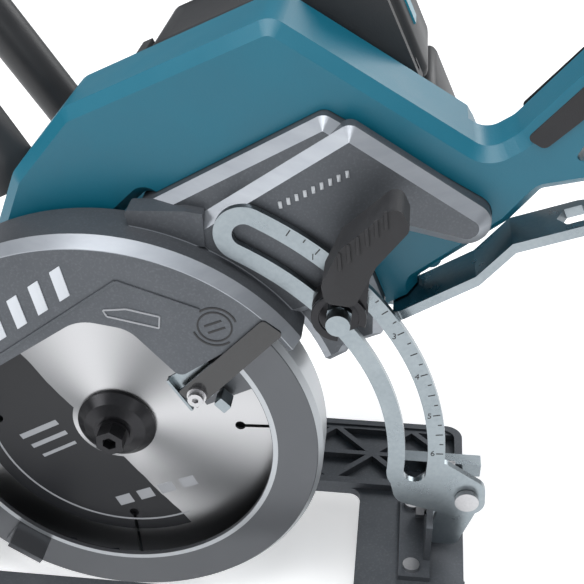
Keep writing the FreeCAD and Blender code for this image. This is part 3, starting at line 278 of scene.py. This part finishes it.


# The two grey colours after fleck are a painted highlight for the chamfered guard rim and case bevels; the band
# radii bound the rim part.
castMetal = {"dark": (0.072, 0.079, 0.089), "pale": (0.112, 0.120, 0.133), "fleck": (0.16, 0.17, 0.19),
             "paintedHighlightDark": (0.26, 0.28, 0.31), "paintedHighlightPale": (0.38, 0.40, 0.43), "bandInner": 0.1046,
             "bandOuter": 0.1085, "mottleScale": 22.0, "speckle": 900.0, "grainScale": 1300.0}


def castFinish(name, paintedHighlightBands):
    f = Finish(name, 0.42, metallic=0.55)
    mottled = f.ramp(f.noise(castMetal["mottleScale"], 6.0), [(0.3, 0.0), (0.75, 1.0)])
    speck = f.ramp(f.noise(castMetal["speckle"], 2.0), [(0.5, 0.0), (0.7, 1.0)])
    base = f.mix(mottled * 0.8, colour(*castMetal["dark"]), colour(*castMetal["pale"]))
    base = f.mix(speck * 0.25, base, colour(*castMetal["fleck"]))
    # Painted highlight: bevels round the guard rim, and front-facing slopes beyond it, are picked out by their
    # slanted normals and their distance from the arbor. They get a paler streaked grey in place of the light
    # they catch.
    if paintedHighlightBands:
        facing = f.axisOf(f.normal, 1)
        across = abs(facing)
        radius = f.distanceFrom(arbor)
        rim = (radius > castMetal["bandInner"]) * (radius < castMetal["bandOuter"]) * (across > 0.2)
        slope = (across > 0.3) * (across < 0.93) * (facing < 0.0) * (radius > castMetal["bandOuter"])
        band = f.node("ShaderNodeClamp", {}, {0: rim + slope})
        streaks = f.noise(40.0, 4.0, (1.0, 1.0, 6.0))
        bright = f.mix(streaks, colour(*castMetal["paintedHighlightDark"]), colour(*castMetal["paintedHighlightPale"]))
        base = f.mix(band, base, bright)
        f.feed(Roughness=0.45 + mottled * 0.08 - band * 0.12)
    else:
        f.feed(Roughness=0.44 + mottled * 0.1)
    f.feed(Base_Color=base)
    f.bump(f.noise(castMetal["grainScale"], 3.0), 0.25, 0.00008)
    return f.material


# The pale grey third colour is a painted highlight for the guard's edges, placed by the lip and rim radii.
guardCoat = {"dark": (0.085, 0.090, 0.098), "pale": (0.13, 0.135, 0.145), "wearAndHighlight": (0.42, 0.44, 0.46),
             "lipInner": 0.0752, "lipOuter": 0.0775, "rimInner": 0.0958, "grainScale": 900.0}


def guardFinish():
    f = Finish("guardPaint", 0.36, metallic=0.7)
    mottled = f.noise(14.0, 5.0)
    # Painted highlight: a narrow lip ring and everything beyond the rim radius are coloured pale grey, standing
    # in for light caught along the guard's edges.
    radius = f.distanceFrom(arbor)
    lip = (radius < guardCoat["lipOuter"]) * (radius > guardCoat["lipInner"])
    rim = radius > guardCoat["rimInner"]
    wearAndHighlight = f.node("ShaderNodeClamp", {}, {0: lip + rim})
    paint = f.mix(mottled, colour(*guardCoat["dark"]), colour(*guardCoat["pale"]))
    f.feed(Base_Color=f.mix(wearAndHighlight, paint, colour(*guardCoat["wearAndHighlight"])), Roughness=0.33 + mottled * 0.1)
    f.bump(f.noise(guardCoat["grainScale"], 3.0), 0.15, 0.00006)
    return f.material


# The dark third colour is the dark end of the grind marks and of the painted reflection streaks on the bare
# steel.
bladeFace = {"coated": (0.012, 0.013, 0.016), "bare": (0.58, 0.58, 0.59), "grindAndReflectionDark": (0.12, 0.125, 0.13),
             "tip": (0.22, 0.21, 0.20), "coatSide": (0.80, 0.60), "coatFrom": -0.010, "wobble": 0.004,
             "coatInner": 0.0215, "coatOuter": 0.070, "tipsFrom": 0.0865, "grindScale": 9000.0}


def bladeFinish():
    f = Finish("bladeSteel", 0.28, metallic=1.0)
    radius = f.distanceFrom(arbor)
    dx = f.axisOf(f.place, 0) - arbor.x
    dz = f.axisOf(f.place, 2) - arbor.z
    side = dx * bladeFace["coatSide"][0] + dz * bladeFace["coatSide"][1]
    wobble = f.noise(30.0, 3.0) * bladeFace["wobble"]
    sector = side + wobble < bladeFace["coatFrom"]
    printed = sector * (radius < bladeFace["coatOuter"]) * (radius > bladeFace["coatInner"])
    tips = radius > bladeFace["tipsFrom"]
    grind = f.node("ShaderNodeTexNoise", {"noise_dimensions": "1D"},
                   {"W": radius * bladeFace["grindScale"], "Scale": 1.0, "Detail": 3.0})
    # Painted reflection: the bare steel swings between dark and pale in sectors round the arbor, standing in
    # for its streaked reflections. The grind rings mixed in are real grinding marks.
    angle = f.node("ShaderNodeMath", {"operation": "ARCTAN2"}, {0: dz, 1: dx})
    paintedReflectionFans = f.node("ShaderNodeMath", {"operation": "SINE"}, {0: angle * 4.0 + radius * 12.0}) * 0.5 + 0.5
    bare = f.mix(grind * 0.35 + paintedReflectionFans * 0.65, colour(*bladeFace["grindAndReflectionDark"]), colour(*bladeFace["bare"]))
    body = f.mix(printed, bare, colour(*bladeFace["coated"]))
    f.feed(Base_Color=f.mix(tips, body, colour(*bladeFace["tip"])),
           Metallic=1.0 - printed * 0.8, Roughness=0.26 + grind * 0.14 + printed * 0.15)
    f.bump(grind, 0.12, 0.00003)
    return f.material


def metalFinish(name, dark, pale, roughness, scale=60.0, stretch=None, metallic=1.0):
    f = Finish(name, roughness, metallic=metallic)
    cloud = f.noise(scale, 6.0)
    fine = f.noise(scale * 12, 3.0, stretch)
    f.feed(Base_Color=f.mix(cloud * 0.6 + fine * 0.4, colour(*dark), colour(*pale)),
           Roughness=roughness - 0.08 + cloud * 0.18)
    f.bump(fine, 0.15, 0.00005)
    return f.material


def lensFinish():
    f = Finish("clearLens", 0.12, coat=0.6)
    ribs = f.node("ShaderNodeTexWave", {}, {"Vector": f.place, "Scale": 400.0})
    f.feed(Base_Color=f.mix(ribs, colour(0.62, 0.66, 0.68), colour(0.85, 0.88, 0.90)))
    f.bump(ribs, 0.3, 0.0001)
    return f.material


tealPlastic = plasticFinish("tealPlastic", mouldedPlastic["teal"], mouldedPlastic["tealWorn"], 0.42)
tealSmooth = plasticFinish("tealSmooth", (0.003, 0.19, 0.27), (0.01, 0.25, 0.34), 0.3, 0.6, 0.3)
blackPlastic = plasticFinish("blackPlastic", mouldedPlastic["black"], mouldedPlastic["blackWorn"], 0.48)
blackSmooth = plasticFinish("blackSmooth", (0.010, 0.010, 0.011), (0.020, 0.020, 0.022), 0.25, 0.5, 0.4)
gripRubber = rubberFinish()
castPaint = castFinish("castPaint", False)
casePaint = castFinish("casePaint", True)
guardPaint = guardFinish()
bladeSteel = bladeFinish()
zincPlate = metalFinish("zincPlate", (0.17, 0.20, 0.22), (0.36, 0.40, 0.42), 0.28, 45.0)
plainSteel = metalFinish("plainSteel", (0.34, 0.34, 0.35), (0.58, 0.58, 0.59), 0.32, 80.0)
blackOxide = metalFinish("blackOxide", (0.012, 0.012, 0.014), (0.035, 0.035, 0.038), 0.30, 70.0, metallic=0.7)
laminations = metalFinish("laminations", (0.10, 0.07, 0.05), (0.30, 0.20, 0.13), 0.5, 90.0, (1.0, 30.0, 1.0))
contactBrass = metalFinish("contactBrass", (0.55, 0.36, 0.12), (0.80, 0.58, 0.25), 0.28, 90.0)
paleBars = plasticFinish("paleBars", (0.55, 0.58, 0.62), (0.68, 0.70, 0.74), 0.35, 0.8)
greyPrint = plasticFinish("greyPrint", (0.30, 0.31, 0.33), (0.36, 0.37, 0.39), 0.45, 0.8)
darkMark = plasticFinish("darkMark", (0.010, 0.010, 0.012), (0.020, 0.020, 0.022), 0.5, 0.8)
clearLens = lensFinish()
print("finishes made")

slotFinish = {"magnesium": castPaint, "zinc": zincPlate, "guard_grey": guardPaint, "blade_steel": bladeSteel,
              "black_steel": blackOxide, "steel": plainSteel, "laminations": laminations,
              "teal_plastic": tealPlastic, "black_plastic": blackPlastic, "grip_rubber": gripRubber,
              "brass": contactBrass, "lens": clearLens, "release_teal": tealSmooth}
slotOf = {s["node"]: s["material_slot"] for s in frame["record"]["subparts"]}
for nodeName, node in nodes.items():
    node.data.materials.clear()
    node.data.materials.append(slotFinish[slotOf[nodeName]])
nodes["blade_case"].data.materials[0] = casePaint
nodes["deflector_plate"].data.materials[0] = blackSmooth
nodes["outer_flange"].data.materials[0] = blackOxide


# Guard face: a chevron, an arrow, a brake ring and slanted bars.
guardFace = -18.6
chevron = {"ridges": ((-62, 53.0, 49.1, 77.1), (49.1, 77.1, 75.4, 51.9)), "width": 1.3, "proud": 0.7,
           "edge": 0.25}
arrow = {"corners": ((37.0, 66.5), (37.0, 63.2), (55.0, 50.0), (58.0, 55.0), (46.5, 63.5)), "width": 0.7,
         "proud": 0.5, "edge": 0.15}
brakeRing = {"centre": (77.3, 42.1), "radius": 7.2, "width": 0.7, "proud": 0.25, "sink": 0.05, "shoeGap": 2.2,
             "shoeWidth": 0.8, "shoeStarts": (20, 200), "shoeSweep": 110, "stripes": (-1.8, 1.8),
             "stripeHalf": 4, "stripeWidth": 0.9, "stripeProud": 0.2}
guardBars = {"count": 5, "start": (-28, 66.0), "step": (12.5, 2.7), "proud": 0.5, "edge": 0.3,
             "outline": ((0, 0), (5.8, 1.2), (9.2, 15.2), (3.4, 14))}


def buildChevron():
    bm = bmesh.new()
    for run in chevron["ridges"]:
        addMark(bm, barPoints(*run, chevron["width"]), guardFace, chevron["proud"], edge=chevron["edge"])
    finishPiece("guardChevron", bm, "saw_head", casePaint)


def buildArrow():
    bm = bmesh.new()
    corners = arrow["corners"]
    for here, after in zip(corners, corners[1:] + corners[:1]):
        addMark(bm, barPoints(*here, *after, arrow["width"]), guardFace, arrow["proud"], edge=arrow["edge"])
    finishPiece("turnArrow", bm, "saw_head", greyPrint)


def buildBrakeRing():
    bm = bmesh.new()
    x, z = brakeRing["centre"]
    centre = headPlace(x, z, 0)
    back, front = guardFace + brakeRing["sink"], guardFace - brakeRing["proud"]
    addArc(bm, centre, brakeRing["radius"], brakeRing["width"], back, front, 0, 360, 48)
    for start in brakeRing["shoeStarts"]:
        addArc(bm, centre, brakeRing["radius"] + brakeRing["shoeGap"], brakeRing["shoeWidth"], back, front,
               start, start + brakeRing["shoeSweep"], 24)
    half = brakeRing["stripeHalf"]
    for offset in brakeRing["stripes"]:
        stripe = barPoints(x - half, z + offset, x + half, z + offset, brakeRing["stripeWidth"])
        addMark(bm, stripe, guardFace, brakeRing["stripeProud"], brakeRing["sink"])
    finishPiece("brakeRing", bm, "saw_head", darkMark)


def buildGuardBars():
    bm = bmesh.new()
    for k in range(guardBars["count"]):
        x0 = guardBars["start"][0] + guardBars["step"][0] * k
        z0 = guardBars["start"][1] + guardBars["step"][1] * k
        bar = [(x0 + x, z0 + z) for x, z in guardBars["outline"]]
        addMark(bm, bar, guardFace, guardBars["proud"], edge=guardBars["edge"])
    finishPiece("guardBars", bm, "saw_head", paleBars)


buildChevron()
buildArrow()
buildBrakeRing()
buildGuardBars()

# Case panel: a row of plain raised bars.
caseBars = {"face": -1.0, "count": 9, "start": (121.0, 74.5), "step": (3.8, 0.3), "lean": (0.9, 3.0),
            "width": 1.5, "proud": 0.45, "edge": 0.15}


def buildCaseBars():
    bm = bmesh.new()
    for k in range(caseBars["count"]):
        x = caseBars["start"][0] + caseBars["step"][0] * k
        z = caseBars["start"][1] + caseBars["step"][1] * k
        bar = barPoints(x, z, x + caseBars["lean"][0], z + caseBars["lean"][1], caseBars["width"])
        addMark(bm, bar, caseBars["face"], caseBars["proud"], edge=caseBars["edge"])
    # These bars lie beyond guardPaint's rim radius, so they take its pale painted highlight colour all over.
    finishPiece("caseBars", bm, "saw_head", guardPaint)


buildCaseBars()
print("guard and case marks built")

# Depth guide: scale ticks and numbers.
guideScale = {"face": -5.0, "bladeRadius": 92.5, "stepDepth": 2.5, "firstStep": 2, "lastStep": 24, "tick": 3.2,
              "shortTick": 0.55, "tickEnd": 12.1, "tickWidth": 0.5, "proud": 0.08, "sink": 0.05,
              "numberEvery": 4, "numberAt": 7.3, "numberSize": 4.2, "numberDepth": 0.06, "numberProud": 0.03}


def guideCentre(swing):  # the clamp bolt's path in the guide, in millimetres
    turn = Matrix.Rotation(-swing, 3, yAxis)
    back = Matrix.Rotation(guideRatio * swing, 3, yAxis)
    at = frontPivot + turn @ (depthBolt - frontPivot)
    at = guidePivot + back @ (at - guidePivot)
    return at / mm


def buildGuideScale():
    bm = bmesh.new()
    reach = math.hypot(arbor.x - frontPivot.x, arbor.z - frontPivot.z) / mm
    for step in range(guideScale["firstStep"], guideScale["lastStep"] + 1):
        depth = guideScale["stepDepth"] * step
        swing = math.asin((guideScale["bladeRadius"] - depth - frontPivot.z / mm) / reach) - tipUp
        here, ahead = guideCentre(swing), guideCentre(swing + 0.01)
        along = (ahead - here).normalized()
        out = Vector((along.z, 0, -along.x))
        if out.x < 0:
            out = -out
        length = guideScale["tick"] if step % 2 == 0 else guideScale["tick"] * guideScale["shortTick"]
        near = here + out * (guideScale["tickEnd"] - length)
        far = here + out * guideScale["tickEnd"]
        addMark(bm, barPoints(near.x, near.z, far.x, far.z, guideScale["tickWidth"]), guideScale["face"],
                guideScale["proud"], guideScale["sink"], rowPlace)
        if step % guideScale["numberEvery"] == 0:
            number = str(step // guideScale["numberEvery"])
            addNumber(bm, number, here + out * guideScale["numberAt"], guideScale["face"])
    finishPiece("depthScale", bm, "depth_guide", darkMark)


def addNumber(bm, text, at, face):
    words = bpy.data.curves.new("number", "FONT")
    words.body = text
    words.size = guideScale["numberSize"] * mm
    words.extrude = guideScale["numberDepth"] * mm
    words.align_x = "CENTER"
    words.align_y = "CENTER"
    holder = bpy.data.objects.new("number", words)
    bpy.context.scene.collection.objects.link(holder)
    mesh = bpy.data.meshes.new_from_object(holder)
    place = Matrix.Translation((at.x * mm, (face - guideScale["numberProud"]) * mm, at.z * mm))
    mesh.transform(place @ Matrix.Rotation(math.pi / 2, 4, "X"))
    bm.from_mesh(mesh)
    bpy.data.objects.remove(holder)
    bpy.data.curves.remove(words)
    bpy.data.meshes.remove(mesh)


buildGuideScale()

# Blade: slanted stripes, a row of boxes and an arc on the coated side.
bladeLabels = {"proud": 0.05, "sink": 0.02, "stripes": 3, "stripeFrom": (-50, 8), "stripeTo": (-28, 10),
               "stripeShift": (2, 1, -7), "stripeWidth": 3.0, "stripeNarrows": 0.6, "boxes": 4,
               "boxFrom": (-26, -48), "boxStep": 12, "boxSize": (8, 6), "arcRadius": 63.0, "arcWidth": 1.0,
               "arcFrom": 100, "arcTo": 300}


def buildBladeLabels():
    front = min(v.co.y for v in nodes["saw_blade"].data.vertices) / mm
    proud, sink = bladeLabels["proud"], bladeLabels["sink"]
    bm = bmesh.new()
    (x0, z0), (x1, z1) = bladeLabels["stripeFrom"], bladeLabels["stripeTo"]
    nearShift, farShift, drop = bladeLabels["stripeShift"]
    for k in range(bladeLabels["stripes"]):
        width = bladeLabels["stripeWidth"] - bladeLabels["stripeNarrows"] * k
        stripe = barPoints(x0 + nearShift * k, z0 + drop * k, x1 + farShift * k, z1 + drop * k, width)
        addMark(bm, stripe, front, proud, sink)
    wide, tall = bladeLabels["boxSize"]
    for k in range(bladeLabels["boxes"]):
        x = bladeLabels["boxFrom"][0] + bladeLabels["boxStep"] * k
        z = bladeLabels["boxFrom"][1]
        addMark(bm, [(x, z), (x + wide, z), (x + wide, z + tall), (x, z + tall)], front, proud, sink)
    addArc(bm, Vector((arbor.x, 0, arbor.z)), bladeLabels["arcRadius"], bladeLabels["arcWidth"], front + sink,
           front - proud, bladeLabels["arcFrom"], bladeLabels["arcTo"], 60)
    finishPiece("bladeLabels", bm, "blade_shaft", greyPrint)


buildBladeLabels()
print("scale and blade labels built")

# Lever grip: slanted ribs.
leverRibs = {"count": 6, "start": (141.0, 55.5), "step": (4.6, 2.0), "lean": (2.6, 7.2), "width": 1.5,
             "sink": 0.3, "proud": 0.8, "edge": 0.4}


def buildLeverRibs():
    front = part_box("lever_grip")[0][1] / mm
    bm = bmesh.new()
    for k in range(leverRibs["count"]):
        x = leverRibs["start"][0] + leverRibs["step"][0] * k
        z = leverRibs["start"][1] + leverRibs["step"][1] * k
        rib = barPoints(x, z, x + leverRibs["lean"][0], z + leverRibs["lean"][1], leverRibs["width"])
        addMark(bm, rib, front, leverRibs["proud"], leverRibs["sink"], edge=leverRibs["edge"])
    finishPiece("leverRibs", bm, "depth_lever", gripRubber)


buildLeverRibs()

# Depth lever: a raised collar most of the way round the nut.
collar = {"outer": 11.4, "inner": 8.2, "sink": 0.1, "proud": 1.6, "fromDeg": -20, "toDeg": 270, "edge": 0.35}


def buildCollar():
    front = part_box("depth_lever")[0][1] / mm
    bm = bmesh.new()
    mid = (collar["outer"] + collar["inner"]) / 2
    centre = Vector((depthBolt.x, 0, depthBolt.z))
    addArc(bm, centre, mid, collar["outer"] - collar["inner"], front + collar["sink"], front - collar["proud"],
           collar["fromDeg"], collar["toDeg"], 40)
    softenEdges(bm, collar["edge"] * mm)
    finishPiece("leverCollar", bm, "depth_lever", blackOxide)


buildCollar()

# Motor cover: fine cooling fins round a raised ring.
motorFins = {"radius": 31.5, "length": 4.5, "width": 1.3, "count": 28, "sink": 0.1, "proud": 0.9, "edge": 0.25,
             "ringRadius": 16.5, "ringWidth": 1.6, "ringProud": 1.1}


def buildMotorFins():
    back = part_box("motor_cover")[1][1] / mm
    bm = bmesh.new()
    x, z = motorCentre.x / mm, motorCentre.z / mm
    near, far = motorFins["radius"] - motorFins["length"], motorFins["radius"]
    for k in range(motorFins["count"]):
        a = math.tau * k / motorFins["count"]
        fin = barPoints(x + near * math.cos(a), z + near * math.sin(a), x + far * math.cos(a),
                        z + far * math.sin(a), motorFins["width"])
        addSlab(bm, fin, back - motorFins["sink"], back + motorFins["proud"], rowPlace, edge=motorFins["edge"])
    addArc(bm, Vector((motorCentre.x, 0, motorCentre.z)), motorFins["ringRadius"], motorFins["ringWidth"],
           back - motorFins["sink"], back + motorFins["ringProud"], 0, 360, 48)
    finishPiece("motorFins", bm, "saw_head", blackSmooth)


buildMotorFins()

# Battery packs: a rounded case with recessed faces, ribs and two rails into the dock.
packCase = {"corner": 4.5, "inset": 7.0, "sunk": 1.4, "sideSunk": 0.8, "bodyDepth": 60.0, "ribs": 6,
            "ribWidth": 2.6, "ribFrom": 22, "ribInset": 14, "ribTop": 0.3, "ribFoot": 2.0, "ribEdge": 0.5,
            "railInset": 16, "railHalf": 3, "railStart": 8, "railEnd": 12, "railEdge": 0.6}


def levelBounds(name):  # a node's extent in the level head, in millimetres about the arbor
    unturn = Matrix.Rotation(tipUp, 3, yAxis)
    level = [unturn @ (v.co - arbor) / mm for v in nodes[name].data.vertices]
    return [(min(v[k] for v in level), max(v[k] for v in level)) for k in range(3)]


def levelBlock(xRange, yRange, zRange, corner):
    part = bmesh.new()
    bmesh.ops.create_cube(part, size=1.0)
    spans = [r[1] - r[0] for r in (xRange, yRange, zRange)]
    middle = [(r[1] + r[0]) / 2 for r in (xRange, yRange, zRange)]
    bmesh.ops.scale(part, verts=part.verts, vec=[v * mm for v in spans])
    bmesh.ops.translate(part, verts=part.verts, vec=[v * mm for v in middle])
    if corner:
        bmesh.ops.bevel(part, geom=part.edges[:], offset=corner * mm, segments=3, profile=0.5,
                        affect="EDGES", material=-1)
    return part


def buildPack(pack):
    xs, ys, zs = levelBounds(pack)
    top = ys[1] - arbor.y / mm
    body = levelBlock(xs, (top - packCase["bodyDepth"], top), zs, packCase["corner"])
    outer = [f for f in body.faces if f.normal.y > 0.99]
    bmesh.ops.inset_region(body, faces=outer, thickness=packCase["inset"] * mm, depth=-packCase["sunk"] * mm)
    sides = [f for f in body.faces if abs(f.normal.z) > 0.99]
    bmesh.ops.inset_individual(body, faces=sides, thickness=packCase["inset"] * mm,
                               depth=-packCase["sideSunk"] * mm)
    bm = bmesh.new()
    joinInto(bm, body)
    half, inset = packCase["ribWidth"] / 2, packCase["ribInset"]
    span = xs[1] - xs[0] - 2 * packCase["ribFrom"]
    for k in range(packCase["ribs"]):
        x = xs[0] + packCase["ribFrom"] + span * k / (packCase["ribs"] - 1)
        rib = levelBlock((x - half, x + half), (top - packCase["ribFoot"], top - packCase["ribTop"]),
                         (zs[0] + inset, zs[1] - inset), packCase["ribEdge"])
        joinInto(bm, rib)
    for z in (zs[0] + packCase["railInset"], zs[1] - packCase["railInset"]):
        rail = levelBlock((xs[0] + packCase["railStart"], xs[1] - packCase["railEnd"]),
                          (ys[0], top - packCase["bodyDepth"] + 1),
                          (z - packCase["railHalf"], z + packCase["railHalf"]), packCase["railEdge"])
        joinInto(bm, rail)
    turn = Matrix.Translation(arbor) @ Matrix.Rotation(-tipUp, 4, yAxis)
    bmesh.ops.transform(bm, matrix=turn, verts=bm.verts)
    piece = finishPiece(pack + "_case", bm, pack, blackPlastic)
    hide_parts(pack)


for packName in ("battery_lower", "battery_upper"):
    buildPack(packName)
print("controls and packs built")


stage = {"floorLevel": -0.026, "floorHalf": 6.0, "floorGlow": 0.45, "roomStrength": 0.62,
         "horizon": (0.20, 0.21, 0.22), "overhead": (0.85, 0.88, 0.92),
         "lights": (("topPanel", (0.05, -0.15, 1.15), (0.12, 0.0, 0.1), (0.9, 0.5), 8.5),
                    ("sidePanel", (-0.9, -0.7, 0.75), (0.1, 0.0, 0.1), (0.5, 0.8), 6.0),
                    ("backPanel", (0.8, 0.95, 0.8), (0.1, 0.0, 0.1), (0.7, 0.7), 6.0),
                    ("frontPanel", (0.75, -1.1, 0.30), (0.15, 0.0, 0.08), (0.22, 0.8), 2.5))}
view = {"right": (0.99415, 0.10800, 0.0), "back": (0.09037, -0.83187, 0.54756), "across": 0.0819,
        "above": 0.0606, "away": 0.492, "lens": 64.42, "sensor": 36.0, "clip": 0.01}


def areaLight(name, at, target, size, power):
    light = bpy.data.lights.new(name, "AREA")
    light.shape = "RECTANGLE"
    light.size, light.size_y = size
    light.energy = power
    holder = bpy.data.objects.new(name, light)
    holder.location = at
    holder.rotation_euler = (Vector(target) - Vector(at)).to_track_quat("-Z", "Y").to_euler()
    bpy.context.scene.collection.objects.link(holder)


def buildStage():
    bm = bmesh.new()
    bmesh.ops.create_grid(bm, x_segments=1, y_segments=1, size=stage["floorHalf"])
    bmesh.ops.translate(bm, verts=bm.verts, vec=(0, 0, stage["floorLevel"]))
    mesh = bpy.data.meshes.new("floor")
    bm.to_mesh(mesh)
    bm.free()
    floor = bpy.data.objects.new("floor", mesh)
    bpy.context.scene.collection.objects.link(floor)
    f = Finish("paleFloor", 0.8)
    f.shader.inputs["Emission Color"].default_value = colour(1.0, 1.0, 1.0)
    f.shader.inputs["Emission Strength"].default_value = stage["floorGlow"]
    f.feed(Base_Color=f.mix(f.noise(3.0, 2.0), colour(0.90, 0.90, 0.90), colour(0.94, 0.94, 0.94)))
    mesh.materials.append(f.material)
    buildRoom()
    for light in stage["lights"]:
        areaLight(*light)


def buildRoom():  # pale overhead and greyer towards the horizon, so that metal has something to reflect
    world = bpy.data.worlds.new("softRoom")
    world.use_nodes = True
    tree = world.node_tree
    around = tree.nodes.new("ShaderNodeTexCoord")
    parts = tree.nodes.new("ShaderNodeSeparateXYZ")
    ramp = tree.nodes.new("ShaderNodeValToRGB")
    ramp.color_ramp.elements[0].position = 0.05
    ramp.color_ramp.elements[0].color = colour(*stage["horizon"])
    ramp.color_ramp.elements[1].position = 0.75
    ramp.color_ramp.elements[1].color = colour(*stage["overhead"])
    tree.links.new(around.outputs["Generated"], parts.inputs[0])
    tree.links.new(parts.outputs[2], ramp.inputs[0])
    tree.links.new(ramp.outputs[0], tree.nodes["Background"].inputs[0])
    tree.nodes["Background"].inputs[1].default_value = stage["roomStrength"]
    bpy.context.scene.world = world


def buildCamera():
    right = Vector(view["right"])
    back = Vector(view["back"])
    up = back.cross(right)
    eye = arbor + view["across"] * right + view["above"] * up + view["away"] * back
    camera = bpy.data.cameras.new("camera")
    camera.lens = view["lens"]
    camera.sensor_width = view["sensor"]
    camera.clip_start = view["clip"]
    holder = bpy.data.objects.new("camera", camera)
    turned = Matrix((right, up, back)).transposed().to_4x4()
    holder.matrix_world = Matrix.Translation(eye) @ turned
    bpy.context.scene.collection.objects.link(holder)
    bpy.context.scene.camera = holder


buildStage()
buildCamera()
bpy.context.scene.view_settings.view_transform = "Standard"
print("stage, light and camera set")
